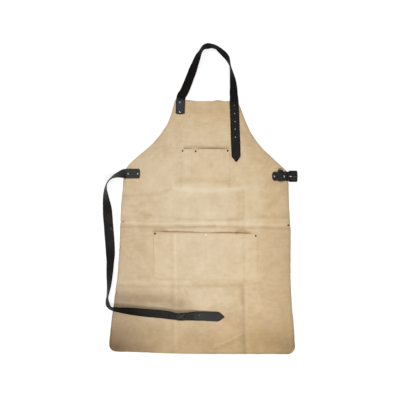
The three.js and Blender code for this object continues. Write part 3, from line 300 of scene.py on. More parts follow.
@dataclass
class ApronCut:
    """The apron's outline and how it lies, in millimetres."""

    bib_width: float = 222
    armhole_drop: float = 252
    waist_width: float = 581
    skirt_length: float = 650
    hem_width: float = 663
    hem_radius: float = 28
    hem_rise: float = 9
    bib_wave: float = 4
    armhole_left: Table = (
        (0, 0), (0.15, 0.055), (0.32, 0.14), (0.49, 0.295),
        (0.66, 0.51), (0.83, 0.79), (0.92, 0.92), (1, 1),
    )
    armhole_right: Table = (
        (0, 0), (0.15, 0.085), (0.32, 0.175), (0.49, 0.29),
        (0.66, 0.465), (0.83, 0.715), (0.92, 0.85), (1, 0.97),
    )
    skirt_left: Table = (
        (0, 0), (0.06, 0.09), (0.23, 0.31), (0.36, 0.39),
        (0.55, 0.57), (0.72, 0.9), (0.85, 1.16), (1, 1.36),
    )
    skirt_right: Table = (
        (0, -0.13), (0.06, 0.02), (0.23, 0.12), (0.36, 0.23),
        (0.55, 0.21), (0.72, 0.32), (0.85, 0.5), (1, 0.64),
    )
    hem: Table = ((0, 1), (0.14, 0.75), (0.3, 0.3), (0.5, 0.06), (1, 0))
    bib_edge: Table = ((0, 0), (0.2, 0.05), (0.36, 0.95), (0.58, 0.95), (0.68, 0.2), (0.8, 1), (1, 1))
    cross_folds: tuple[Fold, ...] = (
        Fold(588.3, -168.5, 139.4, 2.64, 20.4),
        Fold(479.7, -406.7, 406.7, 2.4, 12),
        Fold(445.3, -406.7, 406.7, 1.92, 9),
        Fold(240.5, -406.7, 130.7, 1.44, 10.8),
    )
    length_folds: tuple[Fold, ...] = (
        Fold(-102.3, -130, 500.5, 1.2, 10.8),
        Fold(130.7, -130, 598, 0.9, 10.8),
    )
    fold_fade: float = 20
    cross_wander: Wave = Wave(1.6, 170, 5)
    length_wander: Wave = Wave(1.4, 150, 9)
    swells: tuple[Wave, ...] = (Wave(0.34, 130, 4.2), Wave(0.12, 47, 7.7))
    edge_wave: Wave = Wave(0.45, 46, 2)
    end_wave: Wave = Wave(0.35, 38, 6.1)
    corner_share: float = 0.06
    hem_fading: int = 9
    end_fading: int = 30
    nick_width: float = 2.6
    nicks: tuple[tuple[float, float], ...] = ((380, 1.6), (469.6, 1.8), (217.6, 1.3), (640, 0.8), (120, 0.9))

    @property
    def length(self) -> float:
        """From the hem to the bib's top edge."""
        return self.skirt_length + self.armhole_drop

    def side_at(self, y: np.ndarray, side: Side) -> np.ndarray:
        """Measures the outline.

        Args:
            y: heights over the hem.
            side: which edge.

        Returns:
            The edge's distance from the middle line at each height.
        """
        y = np.asarray(y, float)
        left = side is Side.LEFT
        armhole = self.armhole_left if left else self.armhole_right
        skirt = self.skirt_left if left else self.skirt_right
        high = smooth_read(armhole, (self.length - y) / self.armhole_drop)
        low = smooth_read(skirt, (self.skirt_length - y) / self.skirt_length)
        above = self.bib_width / 2 + high * (self.waist_width - self.bib_width) / 2
        below = self.waist_width / 2 + low * (self.hem_width - self.waist_width) / 2
        return np.where(y > self.skirt_length, above, below)

    def cut_edge(self, y: np.ndarray, side: Side) -> np.ndarray:
        """Measures the edge as the knife left it, a little uneven and nicked on the left.

        Args:
            y: heights over the hem.
            side: which edge.

        Returns:
            The edge's distance from the middle line at each height.
        """
        edge = self.side_at(y, side) + self.edge_wave.at(y, y * 0, side.value)
        if side is Side.LEFT:
            for place, depth in self.nicks:
                edge = edge - depth * bell(y - place, self.nick_width)
        return edge

    def covers(self, x: np.ndarray, y: np.ndarray) -> np.ndarray:
        """Whether each place lies over the apron."""
        inside = (y > 0) & (y < self.length)
        return inside & (x > -self.side_at(y, Side.LEFT)) & (x < self.side_at(y, Side.RIGHT))

    def lie(self, x: np.ndarray, y: np.ndarray) -> np.ndarray:
        """Lays the apron on the floor.

        Args:
            x: places across.
            y: places up.

        Returns:
            How high the apron's underside lies over the floor at each place.
        """
        height = np.zeros_like(x, dtype=float)
        for i, fold in enumerate(self.cross_folds):
            across = y - fold.line - self.cross_wander.at(x, x * 0, i)
            height = np.maximum(height, fold.lift(across, x, self.fold_fade))
        for i, fold in enumerate(self.length_folds):
            across = x - fold.line - self.length_wander.at(y, y * 0, i)
            height = np.maximum(height, fold.lift(across, y, self.fold_fade))
        return FLOOR_GAP + height + sum(wave.lift(x, y) for wave in self.swells)

    def place(self, u: np.ndarray, v: np.ndarray) -> tuple[np.ndarray, np.ndarray]:
        """Turns grid shares into places on the cut, with rows close together in the hem's corners.

        Args:
            u: share from the left edge to the right.
            v: share from the hem to the bib.

        Returns:
            X and Y in millimetres.
        """
        rise, pull = corner_rows(v, self.corner_share, self.hem_radius, self.length)
        left = -self.cut_edge(rise, Side.LEFT) + pull
        right = self.cut_edge(rise, Side.RIGHT) - pull
        x = left + u * (right - left)
        up = rise / self.length
        at_ends = (1 - up) ** self.end_fading + up**self.end_fading
        y = rise + self.hem_rise * smooth_read(self.hem, u) * (1 - up) ** self.hem_fading
        y = y - self.bib_wave * smooth_read(self.bib_edge, u) * up**self.end_fading
        return x, y + self.end_wave.at(x, x * 0) * at_ends


# Painted shade and painted light in the suede: shaded and lit strokes along its folds and creases, painted
# shadows above the pockets' mouths and above the waist strap's raised edge, and painted shade in the nicks of
# its left edge
SUEDE_MARKS: tuple[Mark, ...] = (
    # The bib
    Mark(((-30, 868), (55, 862)), 22, 0.12),
    Mark(((-96, 800), (-60, 770)), 20, 0.08),
    # Painted shadow above the chest pocket's mouth
    Mark(((-75, 734), (-20, 736), (77, 732)), 5, 0.36),
    Mark(((120, 800), (170, 720)), 14, 0.1),
    # Under the chest pocket
    Mark(((-100, 611), (-22, 618), (77, 611)), 11, 0.2),
    Mark(((-118, 590), (-60, 584), (6, 579), (80, 584), (134, 593)), 7, -0.16),
    Mark(((-290, 562), (-200, 566), (-162, 570), (-122, 590)), 6, 0.17),
    Mark(((-232, 500), (-200, 493)), 8, 0.24),
    Mark(((-285, 600), (-240, 585)), 12, 0.1),
    Mark(((60, 640), (120, 600)), 12, 0.08),
    # Along the folds below the waist
    Mark(((-107, 480), (20, 476), (128, 479)), 4, 0.2),
    Mark(((-313, 466), (-200, 463), (60, 464), (301, 458)), 3.6, -0.16),
    Mark(((-313, 453), (-107, 449), (31, 452), (180, 447), (301, 445)), 3.4, 0.27),
    Mark(((-110, 456), (-60, 452), (31, 455)), 4.5, 0.25),
    Mark(((180, 490), (296, 486)), 9, 0.1),
    # Painted shadow above the lower pocket's mouth
    Mark(((-182, 438), (-160, 441), (-143, 436)), 6, 0.4),
    Mark(((108, 433), (127, 440), (150, 432)), 6, 0.4),
    Mark(((-140, 432), (0, 430), (160, 428)), 2.6, 0.24),
    # Down the skirt
    Mark(((-124, 425), (-122, 200), (-122, 0)), 6, 0.08),
    Mark(((-110, 425), (-107, 200), (-107, 0)), 4.4, -0.13),
    Mark(((132, 578), (132, 490)), 4.4, 0.17),
    Mark(((117, 570), (117, 492)), 13, 0.13),
    Mark(((153, 570), (153, 492)), 15, 0.09),
    Mark(((132, 470), (134, 262)), 5, 0.07),
    Mark(((131, 240), (131, 170), (134, 60), (138, 0)), 4.6, 0.22),
    Mark(((122, 130), (124, 60), (128, 0)), 11, 0.14),
    Mark(((143, 240), (145, 170), (150, 0)), 6, -0.08),
    Mark(((146, 590), (147, 300)), 8, -0.05),
    Mark(((124, 246), (128, 180)), 8, 0.14),
    # Across the skirt
    Mark(((-313, 242), (-100, 239), (131, 244)), 5.5, 0.14),
    Mark(((-313, 256), (-60, 254)), 7, -0.07),
    # Painted shadow above the waist strap's raised edge
    Mark(((-330, 200), (-164, 194), (-92, 178)), 27, 0.5),
    Mark(((-350, 150), (-250, 140)), 22, 0.16),
    Mark(((-76, 228), (-70, 218)), 5, 0.22),
    Mark(((31, 28), (80, 47), (126, 73)), 3.2, -0.2),
    Mark(((36, 20), (84, 38), (130, 64)), 7, 0.14),
    Mark(((-60, 60), (10, 40)), 30, 0.08),
    Mark(((200, 60), (310, 30)), 45, 0.16),
    Mark(((-360, 30), (-200, 10)), 30, 0.14),
    # Painted shade in the nicks of the left edge
    Mark(((-309, 380), (-305, 380)), 2.4, 0.9),
    Mark(((-300, 470), (-292, 472)), 2.6, 0.7),
    Mark(((-322, 218), (-318, 218)), 2.4, 0.8),
)


# Wide places of painted light and painted shade; the first is a painted pool of light over the middle of the
# apron
SUEDE_POOLS: tuple[Pool, ...] = (
    Pool(10, 400, 190, 190, -0.14),
    Pool(-3, 660, 64, 70, 0.07),
    Pool(-5, 597, 125, 34, -0.09),
    Pool(10, 205, 130, 45, -0.08),
)


@dataclass(frozen=True)
class SuedeShadeAndTone:
    """How dark the suede is painted and how warm it is, by place on the apron: painted shade and painted
    light along its folds, towards its sides and hem and beside what lies on it, over a random mottling and
    warmth of its own.

    Places are in millimetres, and those of the two sides in shares of the way from the middle line to the
    right edge.
    """

    marks: tuple[Mark, ...] = SUEDE_MARKS
    pools: tuple[Pool, ...] = SUEDE_POOLS
    # Painted shade towards the hem and the bib's top, and painted light from the lower pocket's mouth up
    heights: tuple[Band, ...] = (Band(170, 20, 0.3), Band(800, 860, 0.1), Band(425, 485, -0.09))
    # Painted shade towards both sides and into the lower left corner
    right_side: Band = Band(0.6, 1, 0.28)
    left_side: Band = Band(0.55, 1, 0.14)
    corner_out: Band = Band(120, 320, 0.55)
    corner_down: Band = Band(170, 80, 1)
    mottle: tuple[Wave, ...] = (Wave(0.04, 90, 1.3), Wave(0.025, 37, 8.8))
    warm_right: Band = Band(-80, 253.33, 0.5)
    warm_heights: tuple[Band, ...] = (Band(150, 40, 0.6), Band(760, 870, 0.35))
    warm_mottle: Wave = Wave(0.06, 150, 6.6)

    def shade(self, cut: ApronCut, x: np.ndarray, y: np.ndarray) -> np.ndarray:
        """Reads how dark the suede is painted, by painted shade and light and by its own mottling.

        Args:
            cut: the apron's cut.
            x: places across.
            y: places up.

        Returns:
            How much darker than its middle tone the suede is at each place, from about -1 to 1.
        """
        out = x / cut.side_at(y, Side.RIGHT)
        shade = self.right_side.at(out) + self.left_side.at(-out)
        shade += self.corner_out.at(-x) * self.corner_down.at(y)
        shade += sum(stroke.at(x, y) for stroke in (*self.marks, *self.pools, *self.mottle))
        return shade + sum(band.at(y) for band in self.heights)

    def warmth(self, x: np.ndarray, y: np.ndarray) -> np.ndarray:
        """Reads how warm the suede is.

        Args:
            x: places across.
            y: places up.

        Returns:
            How far its tone turns from pale straw to tan at each place, from 0 to 1.
        """
        warm = self.warm_right.at(x) + sum(band.at(y) for band in self.warm_heights)
        return np.clip(warm + self.warm_mottle.at(x, y), 0, 1)


# Blender helpers


def alone(piece: bpy.types.Object) -> None:
    """Makes a piece the only selected and the active object.

    Args:
        piece: the piece.
    """
    bpy.ops.object.select_all(action="DESELECT")
    piece.select_set(True)
    bpy.context.view_layer.objects.active = piece


def points_of(piece: bpy.types.Object) -> np.ndarray:
    """Reads a piece's points.

    Args:
        piece: the piece.

    Returns:
        Its points as rows of X, Y and Z.
    """
    flat = np.empty(len(piece.data.vertices) * 3)
    piece.data.vertices.foreach_get("co", flat)
    return flat.reshape(-1, 3)


def set_points(piece: bpy.types.Object, points: np.ndarray) -> None:
    """Writes a piece's points."""
    piece.data.vertices.foreach_set("co", points.reshape(-1))
    piece.data.update()


def add_grid(name: str, columns: int, rows: int) -> tuple[bpy.types.Object, np.ndarray, np.ndarray]:
    """Adds a flat grid to be shaped.

    Args:
        name: the piece's name.
        columns: faces across.
        rows: faces up.

    Returns:
        The piece, and the shares from 0 to 1 across and up of each of its points.
    """
    bpy.ops.object.select_all(action="DESELECT")
    bpy.ops.mesh.primitive_grid_add(x_subdivisions=columns, y_subdivisions=rows, size=1)
    piece = bpy.context.active_object
    piece.name = piece.data.name = name
    points = points_of(piece)
    return piece, points[:, 0] + 0.5, points[:, 1] + 0.5


def add_cylinder(
    sides: int, radius: float, depth: float, place: Sequence[float], turn: Sequence[float] = (0, 0, 0)
) -> bpy.types.Object:
    """Adds a cylinder to be shaped.

    Args:
        sides: faces round it.
        radius: its radius in millimetres.
        depth: its length in millimetres.
        place: its middle, in metres.
        turn: its turn about X, Y and Z.

    Returns:
        The piece.
    """
    bpy.ops.object.select_all(action="DESELECT")
    bpy.ops.mesh.primitive_cylinder_add(
        vertices=sides, radius=radius * MM, depth=depth * MM, location=place, rotation=turn
    )
    return bpy.context.active_object


def modify(piece: bpy.types.Object, kind: str, **settings: object) -> None:
    """Adds a modifier and applies it.

    Args:
        piece: the piece.
        kind: the modifier's type.
        settings: its settings by name.
    """
    alone(piece)
    modifier = piece.modifiers.new(kind.title(), kind)
    for key, value in settings.items():
        setattr(modifier, key, value)
    bpy.ops.object.modifier_apply(modifier=modifier.name)


def round_edges(piece: bpy.types.Object, width: float, segments: int = 2, angle: float = 50) -> None:
    """Rounds a piece's sharp edges.

    Args:
        piece: the piece.
        width: the rounding's width in millimetres.
        segments: faces across it.
        angle: how sharp an edge has to be, in degrees.
    """
    modify(
        piece, "BEVEL", width=width * MM, segments=segments, limit_method="ANGLE",
        angle_limit=math.radians(angle), harden_normals=False,
    )


def thicken(piece: bpy.types.Object, thickness: float, offset: float) -> None:
    """Gives a sheet its thickness in millimetres, with its rim in the second material."""
    modify(piece, "SOLIDIFY", thickness=thickness * MM, offset=offset, material_offset_rim=1)


def settle_in(piece: bpy.types.Object) -> None:
    """Puts a piece's place, turn and size into its mesh."""
    alone(piece)
    bpy.ops.object.transform_apply(location=True, rotation=True, scale=True)


def join_to(piece: bpy.types.Object, others: Sequence[bpy.types.Object]) -> None:
    """Joins other pieces to one, and puts its place into its mesh.

    Args:
        piece: the piece that stays.
        others: the pieces that become part of it.
    """
    alone(piece)
    for other in others:
        other.select_set(True)
    bpy.ops.object.join()
    settle_in(piece)


def dress(
    piece: bpy.types.Object, body: Body, slot: Slot, angle: float, *finishes: bpy.types.Material,
    node: str = "",
) -> None:
    """Gives a finished piece its materials, its shading and its place in the part.

    Args:
        piece: the piece.
        body: the body that it rides on.
        slot: its material slot; not used.
        angle: its edges sharper than this, in degrees, stay sharp in the shading.
        finishes: its material, and the material of its cut edges where it has one.
        node: the part's node that it takes the place of, where it does.
    """
    piece.data.materials.clear()
    for finish in finishes:
        piece.data.materials.append(finish)
    alone(piece)
    bpy.ops.object.shade_smooth_by_angle(angle=math.radians(angle))
    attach(piece, body.value)
    if node:
        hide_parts(node)


def report(piece: bpy.types.Object) -> None:
    """Logs a finished piece and how many faces it has."""
    LOG.info("%s: %d faces", piece.name, len(piece.data.polygons))


def paint(piece: bpy.types.Object, name: str, values: np.ndarray) -> None:
    """Stores one number for each point of a piece, for its material to read."""
    layer = piece.data.attributes.new(name=name, type="FLOAT", domain="POINT")
    layer.data.foreach_set("value", values.astype(np.float32))


# Finishes


def linear(colour: str) -> tuple[float, float, float, float]:
    """Turns a screen colour into the linear one that shaders take.

    Args:
        colour: six hexadecimal digits.

    Returns:
        Its linear red, green and blue, and full cover.
    """
    parts = [int(colour[i : i + 2], 16) / 255 for i in (0, 2, 4)]
    parts = [c / 12.92 if c <= 0.04045 else ((c + 0.055) / 1.055) ** 2.4 for c in parts]
    return parts[0], parts[1], parts[2], 1.0


Socket = bpy.types.NodeSocket


class Graph:
    """A material's nodes, added one at a time around one shader."""

    def __init__(self, name: str) -> None:
        """Starts a material with a shader joined to its output.

        Args:
            name: the material's name.
        """
        self.material = bpy.data.materials.new(name)
        self.material.use_nodes = True
        tree = self.material.node_tree
        self.nodes = tree.nodes
        self.links = tree.links
        self.nodes.clear()
        self.shader = self.nodes.new("ShaderNodeBsdfPrincipled")
        output = self.nodes.new("ShaderNodeOutputMaterial")
        self.links.new(self.shader.outputs[0], output.inputs[0])
        self.where = self.nodes.new("ShaderNodeTexCoord").outputs["Object"]

    def feed(self, socket: Socket, value: object) -> None:
        """Links a socket to another, or sets its value.

        Args:
            socket: the socket to feed.
            value: another socket, a number, or a colour in hexadecimal digits.
        """
        if isinstance(value, Socket):
            self.links.new(value, socket)
        else:
            socket.default_value = linear(value) if isinstance(value, str) else value

    def set(self, **values: object) -> None:
        """Feeds the shader's own sockets by name."""
        for key, value in values.items():
            self.feed(self.shader.inputs[key.replace("_", " ").title().replace("Ior", "IOR")], value)

    def stretched(self, scale: Sequence[float], turn: float = 0.0) -> Socket:
        """Stretches the places on the piece and turns them about the upright axis.

        Args:
            scale: how much finer a pattern gets along each axis.
            turn: the turn in radians.

        Returns:
            The places to read a pattern at.
        """
        node = self.nodes.new("ShaderNodeMapping")
        self.feed(node.inputs["Vector"], self.where)
        node.inputs["Scale"].default_value = scale
        node.inputs["Rotation"].default_value = (0, 0, turn)
        return node.outputs["Vector"]

    def noise(
        self, scale: float, detail: float, rough: float, source: Socket | None = None, distortion: float = 0.0
    ) -> Socket:
        """Adds a cloudy pattern.

        Args:
            scale: how many clouds there are in a metre.
            detail: how many finer layers it has.
            rough: how strong these are.
            source: the places to read it at, if they aren't those on the piece.
            distortion: how far it is swirled.

        Returns:
            The pattern's value.
        """
        node = self.nodes.new("ShaderNodeTexNoise")
        self.feed(node.inputs["Vector"], source or self.where)
        node.inputs["Scale"].default_value = scale
        node.inputs["Detail"].default_value = detail
        node.inputs["Roughness"].default_value = rough
        node.inputs["Distortion"].default_value = distortion
        return node.outputs["Fac"]

    def cells(self, scale: float) -> Socket:
        """Adds a grain of cells.

        Args:
            scale: how many cells there are in a metre.

        Returns:
            The distance to the middle of the nearest cell.
        """
        node = self.nodes.new("ShaderNodeTexVoronoi")
        self.feed(node.inputs["Vector"], self.where)
        node.inputs["Scale"].default_value = scale
        return node.outputs["Distance"]

    def across(self) -> Socket:
        """Reads where on the piece a point lies.

        Returns:
            The place across the piece, in metres.
        """
        node = self.nodes.new("ShaderNodeSeparateXYZ")
        self.feed(node.inputs[0], self.where)
        return node.outputs[0]

    def read(self, name: str) -> Socket:
        """Reads what is painted on the piece.

        Args:
            name: the painted attribute.

        Returns:
            Its value.
        """
        node = self.nodes.new("ShaderNodeAttribute")
        node.attribute_name = name
        return node.outputs["Fac"]

    def sum(self, kind: str, a: object, b: object = 0.0, clamp: bool = False) -> Socket:
        """Works out a sum of two values.

        Args:
            kind: the Math node's operation.
            a: a number or socket.
            b: another one.
            clamp: whether the result is held between 0 and 1.

        Returns:
            The result.
        """
        node = self.nodes.new("ShaderNodeMath")
        node.operation = kind
        node.use_clamp = clamp
        self.feed(node.inputs[0], a)
        self.feed(node.inputs[1], b)
        return node.outputs[0]

    def span(self, value: Socket, low: float, high: float, to_low: float, to_high: float) -> Socket:
        """Carries a value over from one range to another, and holds it there.

        Args:
            value: the value.
            low: where its range starts.
            high: where it ends.
            to_low: what the start becomes.
            to_high: what the end becomes.

        Returns:
            The new value.
        """
        node = self.nodes.new("ShaderNodeMapRange")
        self.feed(node.inputs[0], value)
        for i, number in enumerate((low, high, to_low, to_high), start=1):
            node.inputs[i].default_value = number
        return node.outputs[0]

    def mix(self, share: object, a: object, b: object, blend: str = "MIX") -> Socket:
        """Mixes two colours.

        Args:
            share: how much there is of the second.
            a: the first colour.
            b: the second colour.
            blend: how the second goes over the first.

        Returns:
            The mixed colour.
        """
        node = self.nodes.new("ShaderNodeMix")
        node.data_type = "RGBA"
        node.blend_type = blend
        self.feed(node.inputs[0], share)
        self.feed(node.inputs[6], a)
        self.feed(node.inputs[7], b)
        return node.outputs[2]

    def bump(self, height: Socket, strength: float, depth: float, over: Socket | None = None) -> Socket:
        """Roughens the surface by a pattern.

        Args:
            height: the pattern.
            strength: how much of it shows, from 0 to 1.
            depth: its depth in millimetres.
            over: the surface that it goes over, if it is already rough.

        Returns:
            The surface's new direction.
        """
        node = self.nodes.new("ShaderNodeBump")
        node.inputs["Strength"].default_value = strength
        node.inputs["Distance"].default_value = depth * MM
        self.feed(node.inputs["Height"], height)
        if over is not None:
            self.feed(node.inputs["Normal"], over)
        return node.outputs["Normal"]

    def total(self, *parts: tuple[Socket, float]) -> Socket:
        """Adds up values, each times its weight.

        Args:
            parts: each value with its weight.

        Returns:
            The sum.
        """
        result: Socket | float = 0.0
        for value, weight in parts:
            result = self.sum("ADD", result, self.sum("MULTIPLY", value, weight))
        return result


@dataclass(frozen=True)
class SuedeFinish:
    """Pale split leather with a short nap, mottled, with painted shade in its folds and painted light over
    its ridges.
    """

    name: str
    light: str = "e1cdae"
    middle: str = "d8c19e"
    dark: str = "c7ad86"
    shadow: str = "6d5540"
    # The pale colour of painted light, used where the painted shade is below 0
    stretched: str = "f7ecd2"
    warm: str = "fff3dd"
    sheen: str = "f4e6cc"
    lift: float = 0.0

    def make(self) -> bpy.types.Material:
        """Builds the material.

        Returns:
            The material.
        """
        graph = Graph(self.name)
        clouds = graph.noise(9, 4, 0.6, distortion=0.6)
        blotches = graph.noise(46, 4, 0.62)
        streaks = graph.noise(30, 5, 0.65, graph.stretched((1, 3.2, 1), 0.5))
        nap = graph.noise(560, 3, 0.7)
        fibres = graph.noise(300, 4, 0.75, graph.stretched((1, 3.6, 1), 0.35))
        tone = graph.total((clouds, 0.42), (blotches, 0.3), (streaks, 0.28))
        base = graph.mix(graph.span(tone, 0.34, 0.52, 0.35, 1), self.dark, self.middle)
        base = graph.mix(graph.span(tone, 0.48, 0.66, 0, 0.8), base, self.light)
        base = graph.mix(graph.span(graph.read("warm"), 0, 1, 0, 1), base, self.warm, "MULTIPLY")
        shade = graph.sum("SUBTRACT", graph.read("shade"), self.lift)
        speck = graph.span(graph.sum("ADD", nap, fibres), 0.7, 1.3, 0.11, -0.09)
        shade = graph.sum("ADD", shade, speck)
        # Painted shade turns the suede towards its shadow colour, and painted light towards the pale one
        base = graph.mix(graph.span(shade, 0, 1.3, 0, 1), base, self.shadow)
        base = graph.mix(graph.span(shade, 0, -0.5, 0, 0.8), base, self.stretched)
        height = graph.total((nap, 0.6), (fibres, 1))
        pebble = graph.noise(95, 3, 0.5)
        normal = graph.bump(pebble, 0.35, 0.9)
        normal = graph.bump(height, 0.5, 0.28, normal)
        graph.set(base_color=base, normal=normal, roughness=graph.span(nap, 0.3, 0.7, 0.88, 0.98))
        graph.set(specular_ior_level=0.12, sheen_weight=0.12, sheen_roughness=0.6, sheen_tint=self.sheen)
        return graph.material


@dataclass(frozen=True)
class CutEdgeFinish:
    """The raw edge of a cut hide, with its fibres showing."""

    name: str
    colour: str
    deep: str

    def make(self) -> bpy.types.Material:
        """Builds the material.

        Returns:
            The material.
        """
        graph = Graph(self.name)
        layers = graph.noise(700, 4, 0.7, graph.stretched((1, 1, 3.5)))
        base = graph.mix(graph.span(layers, 0.35, 0.65, 0, 1), self.deep, self.colour)
        graph.set(base_color=base, roughness=0.9, specular_ior_level=0.15)
        graph.set(normal=graph.bump(layers, 0.5, 0.3))
        return graph.material


@dataclass(frozen=True)
class StrapFinish:
    """Black waxed strap leather: fine grain, dull scuffs, darker edges from burnishing with a painted shadow
    along the creased grooves, and a painted sheen where it lies flat, mixed in with its wear.
    """

    name: str
    colour: str
    # The colour of worn places, which the painted sheen also turns the leather towards
    worn: str
    gloss: float
    rough: float
    scuffed: str = "55585c"
    burnish_and_groove_shadow: str = "0c0a09"

    def make(self) -> bpy.types.Material:
        """Builds the material.

        Returns:
            The material.
        """
        graph = Graph(self.name)
        grain = graph.cells(760)
        pores = graph.noise(420, 4, 0.7)
        clouds = graph.noise(36, 4, 0.6)
        scratches = graph.noise(120, 5, 0.75, graph.stretched((1, 5, 1), 0.7), distortion=0.4)
        scratched = graph.span(scratches, 0.56, 0.78, 0, 0.5)
        clouded = graph.span(clouds, 0.45, 0.75, 0, 0.35)
        # Wear, and a painted sheen that is strongest on the stretches that lie flat, turn the leather towards
        # its worn colour
        worn = graph.sum("ADD", graph.sum("ADD", scratched, clouded), graph.read("wear_and_sheen"), clamp=True)
        shine = graph.read("shine")
        worn = graph.sum("MULTIPLY", worn, graph.span(shine, 0, 1, 0.25, 1))
        base = graph.mix(worn, self.colour, self.worn)
        base = graph.mix(graph.span(graph.read("scuff"), 0.1, 0.9, 0, 0.5), base, self.scuffed)
        # Darker edges from burnishing, and a painted shadow along the grooves
        base = graph.mix(graph.sum("MULTIPLY", graph.read("edge"), 0.75), base, self.burnish_and_groove_shadow)
        normal = graph.bump(clouds, 0.4, 0.8)
        normal = graph.bump(graph.total((grain, 1), (pores, 0.7)), 0.45, 0.16, normal)
        normal = graph.bump(graph.read("groove"), 0.8, -0.5, normal)
        rough = graph.span(pores, 0.3, 0.7, self.rough - 0.08, self.rough + 0.1)
        graph.set(base_color=base, normal=normal, roughness=graph.total((rough, 1), (worn, 0.18)))
        graph.set(specular_ior_level=graph.span(shine, 0, 1, 0.04, self.gloss))
        return graph.material


@dataclass(frozen=True)
class MetalFinish:
    """Plated or coated metal with fine handling marks, and perhaps a painted glint at one place across."""

    name: str
    colour: str
    worn: str
    metallic: float
    rough: float
    painted_glint: str = ""
    painted_glint_at: float = 0.0
    painted_glint_over: float = 4.5 * MM

    def make(self) -> bpy.types.Material:
        """Builds the material.

        Returns:
            The material.
        """
        graph = Graph(self.name)
        marks = graph.noise(900, 5, 0.7, graph.stretched((1, 4, 1), 0.9))
        stain = graph.noise(260, 3, 0.6)
        base = graph.mix(graph.span(stain, 0.42, 0.68, 0, 1), self.colour, self.worn)
        # A painted glint: a band across the piece turns to a pale glint colour
        if self.painted_glint:
            away = graph.sum("ABSOLUTE", graph.sum("SUBTRACT", graph.across(), self.painted_glint_at))
            base = graph.mix(graph.span(away, 0, self.painted_glint_over, 1, 0), base, self.painted_glint)
        graph.set(base_color=base, metallic=self.metallic)
        graph.set(roughness=graph.span(marks, 0.3, 0.7, self.rough - 0.08, self.rough + 0.14))
        graph.set(normal=graph.bump(marks, 0.25, 0.06))
        return graph.material


@dataclass(frozen=True)
class ThreadFinish:
    """Waxed sewing thread, its twist showing."""

    name: str = "thread"
    colour: str = "e2d5b8"
    deep: str = "cdbf9d"

    def make(self) -> bpy.types.Material:
        """Builds the material.

        Returns:
            The material.
        """
        graph = Graph(self.name)
        twist = graph.noise(1500, 2, 0.5, graph.stretched((1, 2.5, 1), 0.8))
        base = graph.mix(graph.span(twist, 0.35, 0.65, 0, 1), self.deep, self.colour)
        graph.set(base_color=base, roughness=0.7, specular_ior_level=0.25)
        graph.set(normal=graph.bump(twist, 0.5, 0.12))
        return graph.material


@dataclass(frozen=True)
class FloorFinish:
    """A plain white paper floor."""

    name: str = "white_paper"
    grey: str = "a0a0a0"
    light_grey: str = "a4a4a4"
    glow: str = "ffffff"
    glow_strength: float = 0.74

    def make(self) -> bpy.types.Material:
        """Builds the material.

        Returns:
            The material.
        """
        graph = Graph(self.name)
        grain = graph.noise(30, 2, 0.5)
        graph.set(base_color=graph.mix(grain, self.grey, self.light_grey), roughness=0.9)
        graph.set(specular_ior_level=0.1, emission_color=self.glow, emission_strength=self.glow_strength)
        return graph.material


class Finishes:
    """Every material of the apron, built once."""

    def __init__(self) -> None:
        """Builds the materials."""
        prong_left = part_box("buckle_tongue")[0][0]
        self.suede = SuedeFinish("suede").make()
        self.pocket = SuedeFinish("pocket_suede", lift=0.07).make()
        self.raw_edge = CutEdgeFinish("suede_edge", "c4a878", "8f7450").make()
        self.strap = StrapFinish("strap_leather", "141211", "2b2824", 0.5, 0.5).make()
        self.neck = StrapFinish("neck_leather", "15110e", "35373c", 0.3, 0.6).make()
        self.strap_edge = CutEdgeFinish("strap_edge", "1f1611", "0b0807").make()
        self.buckle_leather = StrapFinish("buckle_leather", "0a0a0b", "202024", 0.45, 0.5).make()
        self.black_steel = MetalFinish("black_steel", "101112", "2c2a28", 0.55, 0.34).make()
        # The prong has a painted glint 10 mm in from its left end
        self.bright_steel = MetalFinish(
            "bright_steel", "54524f", "343230", 0.9, 0.4, "c8c5be", prong_left + 10 * MM
        ).make()
        self.nickel = MetalFinish("nickel", "9c9d9f", "6f6d6a", 0.8, 0.36).make()
        # A pale copy of the nickel, for the rivet with a painted glint
        self.glint_painted_nickel = MetalFinish("glint_painted_nickel", "f6f4f0", "e4e0d8", 0.4, 0.3).make()
        self.dark_nickel = MetalFinish("dark_nickel", "4a2c12", "2a1808", 0.7, 0.46).make()
        self.thread = ThreadFinish().make()


@dataclass(frozen=True)
class Placement:
    """How the cut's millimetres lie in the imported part's frame, read from the part's own boxes."""

    x: float
    y: float

    @classmethod
    def from_part(cls, pocket: PocketSizes) -> Placement:
        """Reads where the cut lies from the chest pocket's left edge and the apron's hem.

        Args:
            pocket: the chest pocket's sizes.

        Returns:
            Where the cut lies.
        """
        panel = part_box("chest_pocket")[0]
        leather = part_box("apron_body")[0]
        return cls(panel[0] / MM - pocket.left, leather[1] / MM)

    def metres(self, x: np.ndarray, y: np.ndarray, z: np.ndarray) -> np.ndarray:
        """Turns places on the cut into points in the part's frame."""
        return np.stack([x + self.x, y + self.y, z + 0 * x], axis=1) * MM

    def cut(self, points: np.ndarray) -> tuple[np.ndarray, np.ndarray]:
        """Turns points in the part's frame back into places on the cut."""
        return points[:, 0] / MM - self.x, points[:, 1] / MM - self.y


# Apron and pockets


